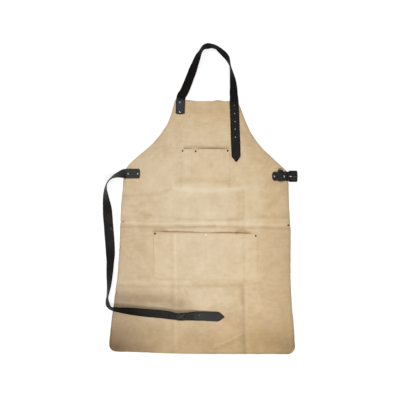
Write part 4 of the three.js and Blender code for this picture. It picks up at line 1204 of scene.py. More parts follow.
@dataclass(frozen=True)
class PocketSizes:
    """A pocket's panel before it is tilted: its edges, its seam and its lower corners."""

    node: str
    left: float
    right: float
    top: float
    bottom: float
    seam: float
    slope: float
    corner: float
    gape: float = 6.5
    seam_room: float = 3
    margin: float = 0.07
    corner_share: float = 0.2
    mouth_wave: Wave = Wave(0.5, 60, 3.3)
    wave_ease: float = 20
    edge_shade_left: float = 0.18
    edge_shade_right: float = 0.06
    stitch_inset: float = 3.6
    stitch_width: float = 1.5
    stitch_shade: float = 0.15
    seam_half: float = 1.2
    seam_width: float = 1.4
    seam_depth: float = 0.02
    mouth_depth: float = 0.08
    mouth_reach: float = 2.5
    across: Table = ((0, 0), (0.12, 0.62), (0.26, 0.95), (0.5, 1), (0.74, 0.95), (0.88, 0.62), (1, 0))
    down: Table = ((0, 1), (0.3, 0.97), (0.55, 0.85), (0.76, 0.5), (0.92, 0), (1, 0))

    def drop(self, x: np.ndarray) -> np.ndarray:
        """How far the tilt moves the panel down at each place across."""
        return (x - (self.left + self.right) / 2) * self.slope

    def stand_off(self, x: np.ndarray, y: np.ndarray) -> np.ndarray:
        """Measures how far the panel stands off the apron.

        Args:
            x: places across.
            y: places up, before the tilt.

        Returns:
            The gap under the panel at each place.
        """
        share = (self.top - y) / (self.top - self.bottom)
        height = np.zeros_like(x, dtype=float)
        for start, end in ((self.left, self.seam), (self.seam, self.right)):
            room = end - start
            low = start + self.seam_room + self.margin * room
            high = end - self.seam_room - self.margin * room
            at = np.clip((x - low) / (high - low), 0, 1)
            height = height + smooth_read(self.across, at) * min(1, 0.25 + room / 160)
        return self.gape * height * smooth_read(self.down, share)

    def covers(self, x: np.ndarray, y: np.ndarray) -> np.ndarray:
        """Whether each place lies over the panel."""
        flat = y + self.drop(x)
        return (x > self.left) & (x < self.right) & (flat > self.bottom) & (flat < self.top)

    def seam_shade(self, x: np.ndarray, y: np.ndarray) -> np.ndarray:
        """Darkens the panel along its edges, its stitched lines, its seam and its mouth.

        Args:
            x: places across.
            y: places up.

        Returns:
            What is added to the shade at each place.
        """
        flat = y + self.drop(x)
        edge = np.minimum(np.minimum(x - self.left, self.right - x), flat - self.bottom)
        rightward = np.clip((x - self.left) / (self.right - self.left), 0, 1)
        deep = self.edge_shade_left + (self.edge_shade_right - self.edge_shade_left) * rightward
        stitches = self.stitch_shade * bell(edge - self.stitch_inset, self.stitch_width)
        seam = self.seam_depth * bell(np.abs(x - self.seam) - self.seam_half, self.seam_width)
        mouth = self.mouth_depth * np.exp(-np.clip(self.top - flat, 0, None) / self.mouth_reach)
        return deep * (stitches + np.exp(-np.clip(edge, 0, None))) + seam + mouth


CHEST = PocketSizes("chest_pocket", -89, 82, 728, 582, -42, 0.0, 2)
LOWER = PocketSizes("lower_pocket", -187.5, 181.5, 431, 263, -0.5, math.tan(math.radians(1)), 24)


@dataclass
class ApronMaker:
    """The apron's hide and its two pockets."""

    cut: ApronCut
    spot: Placement
    finishes: Finishes
    # The suede's painted shade and light, and its warmth
    tone: SuedeShadeAndTone = SuedeShadeAndTone()
    columns: int = 140
    rows: int = 215
    hide_rounding: float = 0.45
    pocket_rounding: float = 0.4
    sharp: float = 35
    rim_left: float = 0.34
    rim_right: float = 0.48
    rim_width: float = 3.8
    pocket_warmth: float = 0.2
    fold_length: float = 2

    def panel_top(self, pocket: PocketSizes, x: np.ndarray, y: np.ndarray) -> np.ndarray:
        """Returns the height of a pocket panel's face at each place on the cut."""
        off = pocket.stand_off(x, y + pocket.drop(x))
        return self.cut.lie(x, y) + 2 * LEATHER + SEAT_GAP + off

    def face_at(self, x: np.ndarray, y: np.ndarray) -> np.ndarray:
        """Measures what a strap or rivet lies on.

        Args:
            x: places across.
            y: places up.

        Returns:
            The height of the highest leather at each place, or the floor's.
        """
        x = np.asarray(x, float)
        y = np.asarray(y, float)
        height = np.where(self.cut.covers(x, y), self.cut.lie(x, y) + LEATHER, 0)
        for pocket in (CHEST, LOWER):
            height = np.where(pocket.covers(x, y), self.panel_top(pocket, x, y), height)
        return height

    def build(self) -> list[bpy.types.Object]:
        """Returns the hide and the two pockets."""
        return [self.hide(), self.pocket(CHEST, 84, 72), self.pocket(LOWER, 150, 74)]

    def colour(self, piece: bpy.types.Object, darker: Field, warmer: float) -> None:
        """Paints a suede piece's painted shade and light, and its warmth.

        Args:
            piece: the piece.
            darker: gives what is added to the shade at places on the cut.
            warmer: what is added to the warmth.
        """
        x, y = self.spot.cut(points_of(piece))
        paint(piece, "shade", self.tone.shade(self.cut, x, y) + darker(x, y))
        paint(piece, "warm", self.tone.warmth(x, y) + warmer)

    def hide(self) -> bpy.types.Object:
        """Makes the apron's hide in one piece.

        Returns:
            The finished hide.
        """
        piece, u, v = add_grid("apron_hide", self.columns, self.rows)
        x, y = self.cut.place(u, v)
        set_points(piece, self.spot.metres(x, y, self.cut.lie(x, y) + LEATHER))
        thicken(piece, LEATHER, -1)
        round_edges(piece, self.hide_rounding)
        self.colour(piece, self.rim_shade, 0)
        dress(piece, Body.APRON, Slot.SUEDE, self.sharp, self.finishes.suede, self.finishes.raw_edge,
              node="apron_body")
        heights = np.linspace(0, self.cut.length, 400)
        widths = self.cut.side_at(heights, Side.LEFT) + self.cut.side_at(heights, Side.RIGHT)
        return piece

    def rim_shade(self, x: np.ndarray, y: np.ndarray) -> np.ndarray:
        """Paints shade along the outer edge, a little stronger on the right.

        Args:
            x: places across.
            y: places up.

        Returns:
            What is added to the shade at each place.
        """
        left = x + self.cut.side_at(y, Side.LEFT)
        right = self.cut.side_at(y, Side.RIGHT) - x
        near = np.minimum(np.minimum(left, right), np.minimum(y, self.cut.length - y))
        depth = np.where(x > 0, self.rim_right, self.rim_left)
        return depth * np.exp(-np.clip(near, 0, None) / self.rim_width)

    def pocket(self, sizes: PocketSizes, columns: int, rows: int) -> bpy.types.Object:
        """Makes one pocket's panel, standing off the hide between its seams.

        Args:
            sizes: the pocket's sizes.
            columns: faces across.
            rows: faces down.

        Returns:
            The finished panel.
        """
        piece, u, v = add_grid(f"{sizes.node}_panel", columns, rows)
        height = sizes.top - sizes.bottom
        rise, pull = corner_rows(v, sizes.corner_share, sizes.corner, height)
        x = sizes.left + pull + u * (sizes.right - sizes.left - 2 * pull)
        wave = sizes.mouth_wave.at(x, x * 0) * fade(x, sizes.left, sizes.right, sizes.wave_ease)
        y = sizes.bottom + rise - sizes.drop(x) + wave * v**8
        set_points(piece, self.spot.metres(x, y, self.panel_top(sizes, x, y)))
        thicken(piece, LEATHER, -1)
        round_edges(piece, self.pocket_rounding)
        self.colour(piece, sizes.seam_shade, self.pocket_warmth)
        dress(piece, Body.APRON, Slot.POCKET, self.sharp, self.finishes.pocket, self.finishes.raw_edge,
              node=sizes.node)
        return piece


@dataclass
class SeamMaker:
    """The pockets' stitches: one stitch modelled, then laid along every seam."""

    apron: ApronMaker
    pitch: float = 4.2
    inset: float = 3.6
    length: float = 3.1
    thick: float = 0.85
    sunk: float = 0.14
    seam_apart: float = 3.2
    from_mouth: float = 10
    tightest: float = 0.6

    def build(self) -> list[bpy.types.Object]:
        """Returns the stitches of both pockets."""
        return [self.lay(CHEST), self.lay(LOWER)]

    def stitch(self) -> tuple[np.ndarray, list[tuple[int, ...]]]:
        """Models one stitch lying along X.

        Returns:
            Its points in millimetres, and its faces.
        """
        bpy.ops.object.select_all(action="DESELECT")
        bpy.ops.mesh.primitive_uv_sphere_add(segments=8, ring_count=6, radius=0.5)
        piece = bpy.context.active_object
        points = points_of(piece)
        turned = np.stack([points[:, 2], points[:, 1], -points[:, 0]], axis=1)
        turned *= (self.length, self.thick, self.thick)
        turned[:, 2] -= 0.5 * (np.abs(turned[:, 0]) / (self.length / 2)) ** 3 * self.thick
        faces = [tuple(face.vertices) for face in piece.data.polygons]
        bpy.data.objects.remove(piece)
        return turned, faces

    def lines(self, sizes: PocketSizes) -> list[np.ndarray]:
        """Draws a pocket's seams.

        Args:
            sizes: the pocket's sizes.

        Returns:
            The lines of points that the stitches follow, before the tilt.
        """
        left = sizes.left + self.inset
        right = sizes.right - self.inset
        bottom = sizes.bottom + self.inset
        radius = max(sizes.corner - self.inset, self.tightest)
        turn = np.linspace(0, math.pi / 2, 8)
        low = bottom + radius
        round_left = np.stack([left + radius - radius * np.cos(turn), low - radius * np.sin(turn)], 1)
        round_right = np.stack([right - radius + radius * np.sin(turn), low - radius * np.cos(turn)], 1)
        mouth = sizes.top - self.from_mouth
        seams = [np.vstack([[(left, mouth)], round_left, round_right, [(right, mouth)]])]
        for aside in (-0.5, 0.5):
            place = sizes.seam + aside * self.seam_apart
            seams.append(np.array([(place, mouth - 1), (place, bottom + 2)]))
        return seams

    def lay(self, sizes: PocketSizes) -> bpy.types.Object:
        """Lays stitches along a pocket's seams.

        Args:
            sizes: the pocket's sizes.

        Returns:
            The stitches as one piece.
        """
        form, faces = self.stitch()
        points: list[np.ndarray] = []
        for line in self.lines(sizes):
            run = np.concatenate([[0], np.cumsum(np.hypot(*np.diff(line, axis=0).T))])
            count = int(run[-1] / self.pitch)
            middles = (np.arange(count) + 0.5) * run[-1] / count
            for middle in middles:
                ends = np.array([middle - self.length / 2, middle + self.length / 2])
                x = np.interp(ends, run, line[:, 0])
                y = np.interp(ends, run, line[:, 1]) - sizes.drop(np.interp(ends, run, line[:, 0]))
                z = self.apron.panel_top(sizes, x, y)
                centre = np.array([x.mean(), y.mean(), z.mean() + self.sunk])
                along = np.array([x[1] - x[0], y[1] - y[0], z[1] - z[0]])
                along /= np.linalg.norm(along)
                aside = np.cross((0, 0, 1), along)
                aside /= np.linalg.norm(aside)
                axes = np.stack([along, aside, np.cross(along, aside)])
                points.append(form @ axes + centre)
        mesh = bpy.data.meshes.new(f"{sizes.node}_stitches")
        placed = np.vstack(points)
        size = len(form)
        all_faces = [tuple(i + k * size for i in face) for k in range(len(points)) for face in faces]
        mesh.from_pydata(self.apron.spot.metres(*placed.T).tolist(), [], all_faces)
        piece = bpy.data.objects.new(mesh.name, mesh)
        bpy.context.collection.objects.link(piece)
        dress(piece, Body.APRON, Slot.POCKET, 60, self.apron.finishes.thread)
        return piece


# Straps


@dataclass(frozen=True)
class StrapRun:
    """A strap that is laid down: the rows x, y, z, tilt and two for its inner side, and the way along."""

    rows: np.ndarray
    away: np.ndarray

    @property
    def length(self) -> float:
        """How long the strap is."""
        return float(self.away[-1])

    def at(self, away: np.ndarray) -> np.ndarray:
        """Returns the six rows at lengths along the strap."""
        return np.array([np.interp(away, self.away, row) for row in self.rows])


@dataclass
class StrapRoute:
    """A strap's way over floor and apron: flat, or standing up on its outer edge where it turns."""

    points: np.ndarray
    inner: int
    width: float = 32
    thick: float = 2.8
    settle: float = 0.1
    samples: int = 900
    probes: int = 13
    softened: int = 6
    tilt_weight: float = 0.5

    def spline(self, t: float) -> np.ndarray:
        """Reads the smooth curve through the points.

        Args:
            t: share of the way along it.

        Returns:
            The place there, with its weighted tilt.
        """
        points = self.points
        last = len(points) - 1
        place = last * t
        i = min(int(place), last - 1)
        share = place - i
        b, c = points[i], points[i + 1]
        a = points[i - 1] if i > 0 else 2 * b - c
        d = points[i + 2] if i + 2 <= last else 2 * c - b
        step = [max(float(np.sum((q - p) ** 2)) ** 0.25, 1e-4) for p, q in ((a, b), (b, c), (c, d))]
        lean_b = ((b - a) / step[0] - (c - a) / (step[0] + step[1]) + (c - b) / step[1]) * step[1]
        lean_c = ((c - b) / step[1] - (d - b) / (step[1] + step[2]) + (d - c) / step[2]) * step[1]
        return (
            b
            + lean_b * share
            + (3 * (c - b) - 2 * lean_b - lean_c) * share**2
            + (2 * (b - c) + lean_b + lean_c) * share**3
        )

    def run(self, face_at: Field) -> StrapRun:
        """Lays the strap down on what is under it.

        Args:
            face_at: gives the height of the leather or floor at places on the cut.

        Returns:
            The strap as it lies.
        """
        shares = np.linspace(0, 1, self.samples + 1)
        line = np.array([self.spline(t) for t in shares])
        heading = np.gradient(line[:, :2], axis=0)
        heading /= np.linalg.norm(heading, axis=1)[:, None]
        tilt = np.radians(np.clip(line[:, 2] / self.tilt_weight, 0, None))
        side = np.stack([-heading[:, 1], heading[:, 0]], axis=1) * self.inner
        base = np.zeros(len(line))
        for across in np.linspace(-0.5, 0.5, self.probes):
            reach = across * self.width * np.cos(tilt) + self.thick / 2 * np.sin(tilt)
            lift = (across + 0.5) * self.width * np.sin(tilt)
            under = face_at(line[:, 0] + side[:, 0] * reach, line[:, 1] + side[:, 1] * reach)
            base = np.maximum(base, under + SEAT_GAP - lift)
        hop = np.hypot(*np.diff(line[:, :2], axis=0).T)
        for i in range(1, len(base)):
            base[i] = max(base[i], base[i - 1] - self.settle * hop[i - 1])
        for i in range(len(base) - 2, -1, -1):
            base[i] = max(base[i], base[i + 1] - self.settle * hop[i])
        spread = 2 * self.softened + 1
        soft = np.convolve(np.pad(base, self.softened, mode="edge"), np.ones(spread) / spread, mode="valid")
        base = np.maximum(base, soft)
        z = base + self.width / 2 * np.sin(tilt) + self.thick / 2 * np.cos(tilt)
        route = np.stack([line[:, 0], line[:, 1], z], axis=1)
        away = np.concatenate([[0], np.cumsum(np.linalg.norm(np.diff(route, axis=0), axis=1))])
        return StrapRun(np.vstack([route.T, tilt, side.T]), away)


@dataclass(frozen=True)
class Rub:
    """A worn or creased stroke on a strap: its two ends in the strap's own length and width."""

    start: tuple[float, float]
    end: tuple[float, float]
    width: float
    wear: float


@dataclass
class StrapMaker:
    """One long strap with a riveted round end, a pointed free end and a row of holes."""

    name: str
    node: str
    route: StrapRoute
    holes: int
    finish: bpy.types.Material
    edge: bpy.types.Material
    spot: Placement
    shine: Table
    rubs: tuple[Rub, ...] = ()
    stations: int = 330
    lanes: int = 12
    hole_radius: float = 2.4
    hole_pitch: float = 27.7
    hole_from_tip: float = 88
    hole_sides: int = 20
    rounding: float = 0.7
    sharp: float = 40
    edge_width: float = 1.3
    groove_inset: float = 3.2
    groove_width: float = 0.8
    groove_shadow: float = 0.9
    ragged: Wave = Wave(0.25, 60, 3)
    scuffing: Wave = Wave(0.12, 42, 1.1)
    round_end: Table = ((0, 0.3), (0.012, 0.5), (0.035, 0.72), (0.06, 0.88), (0.085, 0.98), (0.1, 1))
    pointed_end: Table = (
        (0, 0.06), (0.05, 0.15), (0.2, 0.41), (0.345, 0.64), (0.5, 0.85), (0.62, 0.96), (0.7, 1),
    )

    def lengths(self, u: np.ndarray, total: float) -> np.ndarray:
        """Spreads the grid along the strap, close together at both ends.

        Args:
            u: shares of the grid's columns.
            total: the strap's length.

        Returns:
            The length along the strap at each share.
        """
        rows = ((0, 0), (0.02, 1.2), (0.04, 4), (0.055, 9), (0.94, total - 25), (0.98, total - 6), (1, total))
        keys, values = np.array(rows, float).T
        return np.interp(u, keys, values)

    def build(self, face_at: Field) -> bpy.types.Object:
        """Makes the strap, lays it on what is under it and punches its holes.

        Args:
            face_at: gives the height of the leather or floor at places on the cut.

        Returns:
            The finished strap.
        """
        run = self.route.run(face_at)
        LOG.info("%s: %.0f mm long", self.name, run.length)
        piece, u, v = add_grid(self.name, self.stations, self.lanes)
        away = self.lengths(u, run.length)
        x, y, z, tilt, side_x, side_y = run.at(away)
        size = self.route.width
        rounded = smooth_read(self.round_end, away / size)
        pointed = smooth_read(self.pointed_end, (run.length - away) / size)
        wide = size * np.minimum(rounded, pointed)
        q = (v - 0.5) * self.route.inner
        reach = q * (wide * np.cos(tilt) + 2 * self.ragged.at(away, away * 0)) / np.hypot(side_x, side_y)
        lift = q * wide * np.sin(tilt)
        set_points(piece, self.spot.metres(x + side_x * reach, y + side_y * reach, z + lift))
        self.colour(piece, away / run.length, away, q, wide)
        thicken(piece, self.route.thick, 0)
        round_edges(piece, self.rounding, 3)
        self.punch(piece, run)
        dress(piece, Body.APRON, Slot.STRAP, self.sharp, self.finish, self.edge, node=self.node)
        return piece

    def colour(
        self, piece: bpy.types.Object, share: np.ndarray, away: np.ndarray, q: np.ndarray, wide: np.ndarray
    ) -> None:
        """Paints the strap's edges and the painted shadow along its grooves, its grooves, its shine, and its
        wear together with a painted sheen where it shines.

        Args:
            piece: the strap, still a flat grid.
            share: each point's share of the way along.
            away: its length along.
            q: its share of the width from the middle line, up to a half.
            wide: the strap's width there.
        """
        margin = wide / 2 - np.abs(q) * wide
        groove = margin - self.groove_inset
        aside = q * self.route.width
        shine = smooth_read(self.shine, share)
        scuff = self.scuffs(away, aside)
        worn = np.clip(0.1 + self.scuffing.at(away, aside) + scuff, 0, 1)
        # Darker edges from burnishing, and a painted shadow along each groove
        edge = bell(margin, self.edge_width) + 0.8 * bell(groove, self.groove_shadow)
        paint(piece, "edge", np.clip(edge, 0, 1))
        paint(piece, "groove", bell(groove, self.groove_width))
        paint(piece, "shine", shine)
        paint(piece, "scuff", scuff)
        # Wear, with a painted sheen added where the strap shines
        paint(piece, "wear_and_sheen", worn + 0.8 * shine**2)

    def scuffs(self, away: np.ndarray, aside: np.ndarray) -> np.ndarray:
        """Reads the scuffs.

        Args:
            away: lengths along the strap.
            aside: places across it, from its middle line.

        Returns:
            How scuffed the strap is at each point.
        """
        total = np.zeros_like(away)
        for wear_and_sheen in self.rubs:
            total = total + wear_and_sheen.wear * bell(stroke_gap(away, aside, wear_and_sheen.start, wear_and_sheen.end), wear_and_sheen.width)
        return np.clip(total, 0, 1)

    def punch(self, piece: bpy.types.Object, run: StrapRun) -> None:
        """Cuts the row of round holes, counted back from the pointed end.

        Args:
            piece: the strap.
            run: how it lies.
        """
        punches = []
        for i in range(self.holes):
            away = run.length - self.hole_from_tip - i * self.hole_pitch
            here = run.at(np.array([away]))
            place = self.spot.metres(*here[:3])[0]
            tilt, side_x, side_y = map(float, here[3:, 0])
            face = Vector((-side_x * math.sin(tilt), -side_y * math.sin(tilt), math.cos(tilt)))
            turn = face.to_track_quat("Z", "Y").to_euler()
            punches.append(add_cylinder(self.hole_sides, self.hole_radius, 4 * self.route.thick, place, turn))
        tool, *others = punches
        join_to(tool, others)
        modify(piece, "BOOLEAN", operation="DIFFERENCE", object=tool, solver="EXACT")
        bpy.data.objects.remove(tool)


# The straps' bends: the way across, the way up or down and the tilt in degrees, each as the plan reads it
NECK_LOOP: tuple[tuple[float, float, float], ...] = (
    (0.018, 0, 3), (0.037, 0.083, 10), (0.066, 0.121, 18), (0.111, 0.213, 22), (0.199, 0.435, 28),
    (0.241, 0.546, 32), (0.283, 0.657, 42), (0.326, 0.769, 51), (0.348, 0.824, 58.5), (0.379, 0.88, 68),
    (0.416, 0.935, 68), (0.46, 0.975, 57), (0.523, 0.993, 50), (0.597, 0.99, 60), (0.637, 0.981, 61),
    (0.69, 0.957, 64), (0.746, 0.91, 57), (0.82, 0.843, 53), (0.872, 0.778, 57), (0.901, 0.713, 70),
    (0.923, 0.65, 81), (0.938, 0.602, 83), (0.95, 0.546, 76), (0.97, 0.435, 62), (0.986, 0.324, 49),
    (0.995, 0.213, 39), (0.996, 0.13, 32), (1.003, 0.04, 27), (1.007, -0.1, 5),
)
WAIST_SIDE: tuple[tuple[float, float, float], ...] = (
    (0, 0, 20), (0.29, 0.007, 54), (0.51, 0.0165, 69), (0.72, 0.033, 82), (0.865, 0.053, 84),
    (0.96, 0.0765, 84), (1, 0.117, 74), (0.978, 0.14, 66), (0.945, 0.17, 55), (0.9, 0.2, 44),
    (0.808, 0.258, 24), (0.755, 0.318, 6), (0.695, 0.377, 13), (0.645, 0.436, 6), (0.586, 0.495, 6),
    (0.508, 0.58, 21), (0.478, 0.644, 37), (0.467, 0.703, 45), (0.452, 0.762, 52), (0.422, 0.82, 63),
    (0.414, 0.881, 76), (0.42, 0.91, 79.5), (0.4, 0.94, 71.5), (0.33, 0.97, 65), (0.23, 0.987, 68),
    (0.1, 0.998, 70),
)
WAIST_FRONT: tuple[tuple[float, float, float], ...] = (
    (0.02, 0.06, 62), (0.057, 0.125, 58), (0.13, 0.235, 46), (0.27, 0.44, 34.5), (0.415, 0.61, 33),
    (0.49, 0.73, 35), (0.56, 0.89, 42), (0.6, 0.94, 39), (0.668, 0.9, 35), (0.74, 0.86, 17),
    (0.81, 0.87, 3), (0.883, 0.91, 0), (1, 0.98, 0),
)

# How much each stretch of a strap shines, by share of its length: its gloss, and a painted sheen in its
# colour, most where it lies flat
NECK_SHINE: Table = ((0, 1), (0.06, 1), (0.085, 0), (0.66, 0), (0.74, 0.4), (1, 0.4))
WAIST_SHINE: Table = (
    (0, 0.85), (0.055, 0.85), (0.1, 0.45), (0.35, 0.3), (0.5, 0.06),
    (0.63, 0.03), (0.72, 0.5), (0.8, 0.65), (1, 0.8),
)
WAIST_RUBS: tuple[Rub, ...] = (
    Rub((818, -12), (846, 12), 2.6, 0.8),
    Rub((846, -11), (822, 10), 2.6, 0.6),
    Rub((292, 6), (300, 10), 3.0, 0.8),
)


@dataclass
class StrapPlan:
    """Where the two long straps run, in millimetres of the apron's cut."""

    cut: ApronCut
    neck_left: float = -94
    neck_right: float = 98
    patch: float = 51
    patch_shift: float = 3.2
    patch_lean: float = 1.6
    loop_rise: float = 192
    tail: float = 220
    tail_drift: float = 7.5
    waist_y: float = 640.5
    waist_patch: float = 57
    waist_fall: float = 479
    standoff: float = 60
    reach: float = 395
    sag: float = 30
    neck_width: float = 32.6
    waist_width: float = 34

    def neck(self) -> StrapRoute:
        """Plans the neck strap: its patch, its loop and its loose end down the bib.

        Returns:
            Its route.
        """
        top = self.cut.length
        span = self.neck_right - self.neck_left
        points = [
            (self.neck_left + self.patch_shift - self.patch_lean * share, top - share * self.patch, 0)
            for share in (1, 0.75, 0.5, 0.25)
        ]
        points += [(self.neck_left + a * span, top + r * self.loop_rise, tilt) for a, r, tilt in NECK_LOOP]
        points += [
            (self.neck_right + 1.2 + share * self.tail_drift, top - share * self.tail, 0)
            for share in (0.25, 0.5, 0.75, 1)
        ]
        return self.route(points, -1, self.neck_width)

    def waist(self) -> StrapRoute:
        """Plans the waist strap: its patch, its run beside the apron and its free end across it.

        Returns:
            Its route.
        """
        edge = -float(self.cut.side_at(self.waist_y, Side.LEFT))
        points = [(edge + share * self.waist_patch, self.waist_y, 0) for share in (1, 0.7, 0.4, 0.15)]
        for out, down, tilt in WAIST_SIDE:
            y = self.waist_y - down * self.waist_fall
            points.append((-float(self.cut.side_at(y, Side.LEFT)) - out * self.standoff, y, tilt))
        front = self.waist_y - self.waist_fall
        start = -float(self.cut.side_at(front, Side.LEFT))
        for along, sag, tilt in WAIST_FRONT:
            points.append((start + along * self.reach, front - sag * self.sag, tilt))
        return self.route(points, 1, self.waist_width)

    def route(self, points: list[tuple[float, float, float]], inner: int, width: float) -> StrapRoute:
        """Makes a route.

        Args:
            points: places on the cut, each with its tilt in degrees.
            inner: 1 if the strap's inner side is on the left of its way, and -1 if on the right.
            width: the strap's width.

        Returns:
            The route.
        """
        line = np.array(points, float)
        line[:, 2] *= StrapRoute.tilt_weight
        return StrapRoute(line, inner, width)


# Buckle and rivets


@dataclass
class BuckleMaker:
    """The buckle on its folded strap, with its tab, keeper, frame and tongue."""

    finishes: Finishes
    leather_rounding: float = 0.5
    ring_rounding: float = 0.25
    prong_rounding: float = 0.4
    tab_growth: tuple[float, float] = (1.05, 1.1)

    def refined(
        self, node: str, name: str, width: float, segments: int = 3, ring: bool = False
    ) -> bpy.types.Object:
        """Copies a part's solid into a new piece, cleans it and rounds its edges.

        Args:
            node: the solid's node.
            name: the new piece's name.
            width: the rounding in millimetres.
            segments: faces across each rounded edge.
            ring: whether the solid goes round an opening, so that its faces are only paired.

        Returns:
            The new piece.
        """
        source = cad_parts[node]
        piece = source.copy()
        piece.data = source.data.copy()
        piece.name = piece.data.name = name
        piece.parent = None
        for key in [key for key in piece.keys() if key.startswith("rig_")]:
            del piece[key]
        bpy.context.collection.objects.link(piece)
        alone(piece)
        bpy.ops.object.mode_set(mode="EDIT")
        bpy.ops.mesh.select_all(action="SELECT")
        bpy.ops.mesh.remove_doubles(threshold=0.00001)
        if ring:
            bpy.ops.mesh.tris_convert_to_quads(face_threshold=math.radians(2), shape_threshold=math.pi)
        else:
            bpy.ops.mesh.dissolve_limited(angle_limit=math.radians(2))
        bpy.ops.object.mode_set(mode="OBJECT")
        round_edges(piece, width, segments, 28)
        return piece

    def leather(self, node: str, name: str, grow: tuple[float, float] = (1, 1)) -> bpy.types.Object:
        """Makes one leather piece of the buckle.

        Args:
            node: the solid's node.
            name: the new piece's name.
            grow: how many times longer and wider the piece gets, from the middle of its left end.

        Returns:
            The finished piece.
        """
        piece = self.refined(node, name, self.leather_rounding)
        points = points_of(piece)
        pivot = np.array([points[:, 0].min(), (points[:, 1].min() + points[:, 1].max()) / 2, 0])
        set_points(piece, pivot + (points - pivot) * (*grow, 1))
        # Even paints over the buckle's leather, with a painted sheen through its shine
        for layer, value in (("edge", 0), ("groove", 0), ("shine", 0.6), ("scuff", 0), ("wear_and_sheen", 0.1)):
            paint(piece, layer, np.full(len(points), value, float))
        dress(piece, Body.APRON, Slot.BUCKLE, 40, self.finishes.buckle_leather, node=node)
        return piece

    def build(self) -> list[bpy.types.Object]:
        """Makes the buckle's five pieces.

        Returns:
            The pieces.
        """
        pieces = [
            self.leather("buckle_strap", "buckle_fold"),
            self.leather("buckle_guard", "buckle_tab", self.tab_growth),
            self.leather("keeper_loop", "keeper_band"),
        ]
        ring = self.refined("buckle_frame", "buckle_ring", self.ring_rounding, 2, ring=True)
        dress(ring, Body.FRAME, Slot.BLACK_STEEL, 60, self.finishes.black_steel, node="buckle_frame")
        prong = self.refined("buckle_tongue", "buckle_prong", self.prong_rounding)
        dress(prong, Body.TONGUE, Slot.BRIGHT_STEEL, 50, self.finishes.bright_steel, node="buckle_tongue")
        return [*pieces, ring, prong]


NICKEL_RIVETS = (
    "neck_rivet_lower", "neck_rivet_upper", "waist_rivet_inner", "waist_rivet_outer",
    "buckle_rivet_inner", "buckle_rivet_outer",
)
# The rivet that gets the pale nickel of a painted glint
GLINT_PAINTED_RIVETS = ("lower_pocket_rivet_middle",)
DARK_RIVETS = (
    "chest_pocket_rivet_left", "chest_pocket_rivet_middle", "chest_pocket_rivet_right",
    "lower_pocket_rivet_left", "lower_pocket_rivet_right", "edge_rivet",
)

# How far rivets sit from their places in the part, in millimetres
RIVET_SHIFTS: dict[str, tuple[float, float]] = {
    "chest_pocket_rivet_middle": (4.5, -1.5),
    "lower_pocket_rivet_right": (0.0, -1.5),
    "edge_rivet": (2.0, -3.5),
}


@dataclass
class RivetMaker:
    """Tubular rivets: a low dome with a rolled rim above, and a flat washer let in below."""

    finishes: Finishes
    spot: Placement
    face_at: Field
    strap_thick: float
    radius: float = 3.4
    rim: float = 0.45
    skirt: float = 0.7
    rounding: float = 0.12
    steps: tuple[tuple[float, float], ...] = ((0.35, 0.28), (0.35, -0.12), (0.8, 0.42), (0.9, 0.24))
    buckle_head: float = 1.9
    tail_radius: float = 2.8
    tail_thick: float = 0.5
    tail_height: float = 0.27

    def pattern(self) -> bpy.types.Object:
        """Models one rivet head about the origin, its seat at height 0.

        Returns:
            The head.
        """
        middle = (self.rim - self.skirt) / 2 * MM
        piece = add_cylinder(28, self.radius, self.skirt + self.rim, (0, 0, middle))
        piece.name = "rivet_pattern"
        settle_in(piece)
        for thickness, depth in self.steps:
            self.inset_top(piece, thickness, depth)
        round_edges(piece, self.rounding, 2, 25)
        return piece

    def inset_top(self, piece: bpy.types.Object, thickness: float, depth: float) -> None:
        """Insets the head's many-sided top face and raises or sinks it.

        Args:
            piece: the head.
            thickness: the inset in millimetres.
            depth: how far it is raised, or sunk where it is negative.
        """
        alone(piece)
        for part in (piece.data.polygons, piece.data.edges, piece.data.vertices):
            for item in part:
                item.select = False
        top = max(piece.data.polygons, key=lambda face: (len(face.vertices), face.center.z))
        top.select = True
        bpy.ops.object.mode_set(mode="EDIT")
        bpy.ops.mesh.select_mode(type="FACE")
        bpy.ops.mesh.inset(thickness=thickness * MM, depth=depth * MM)
        bpy.ops.object.mode_set(mode="OBJECT")

    def build(self) -> list[bpy.types.Object]:
        """Copies the rivet to every place that the part has one.

        Returns:
            The rivets.
        """
        pattern = self.pattern()
        pieces = []
        for names, finish, slot in (
            (NICKEL_RIVETS, self.finishes.nickel, Slot.RIVET),
            (GLINT_PAINTED_RIVETS, self.finishes.glint_painted_nickel, Slot.RIVET),
            (DARK_RIVETS, self.finishes.dark_nickel, Slot.DARK_RIVET),
        ):
            for node in names:
                piece = self.place(pattern, node)
                dress(piece, Body.APRON, slot, 40, finish, node=node)
                pieces.append(piece)
        bpy.data.objects.remove(pattern)
        return pieces

    def seat(self, node: str, x: float, y: float) -> float:
        """Finds what a rivet's head sits on.

        Args:
            node: the rivet's node.
            x: its place across the cut.
            y: its place up the cut.

        Returns:
            The height of its seat in millimetres.
        """
        if node.startswith("buckle"):
            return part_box(node)[1][2] / MM - self.buckle_head
        face = float(self.face_at(np.array([x]), np.array([y]))[0])
        if node.startswith(("neck", "waist")):
            return face + SEAT_GAP + self.strap_thick
        return face

    def place(self, pattern: bpy.types.Object, node: str) -> bpy.types.Object:
        """Sets one copy of the rivet on the leather, with its washer on the underside.

        Args:
            pattern: the head to copy.
            node: the rivet's node.

        Returns:
            The rivet.
        """
        low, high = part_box(node)
        middle = (np.array(low) + np.array(high)) / 2 / MM + (*RIVET_SHIFTS.get(node, (0, 0)), 0)
        x, y = middle[0] - self.spot.x, middle[1] - self.spot.y
        piece = pattern.copy()
        piece.data = pattern.data.copy()
        piece.name = piece.data.name = f"{node}_cap"
        bpy.context.collection.objects.link(piece)
        across, up = middle[0] * MM, middle[1] * MM
        piece.location = across, up, self.seat(node, x, y) * MM
        washer = add_cylinder(24, self.tail_radius, self.tail_thick, (across, up, self.tail_height * MM))
        round_edges(washer, self.rounding, 1, 30)
        join_to(piece, [washer])
        return piece


# Floor, light and camera


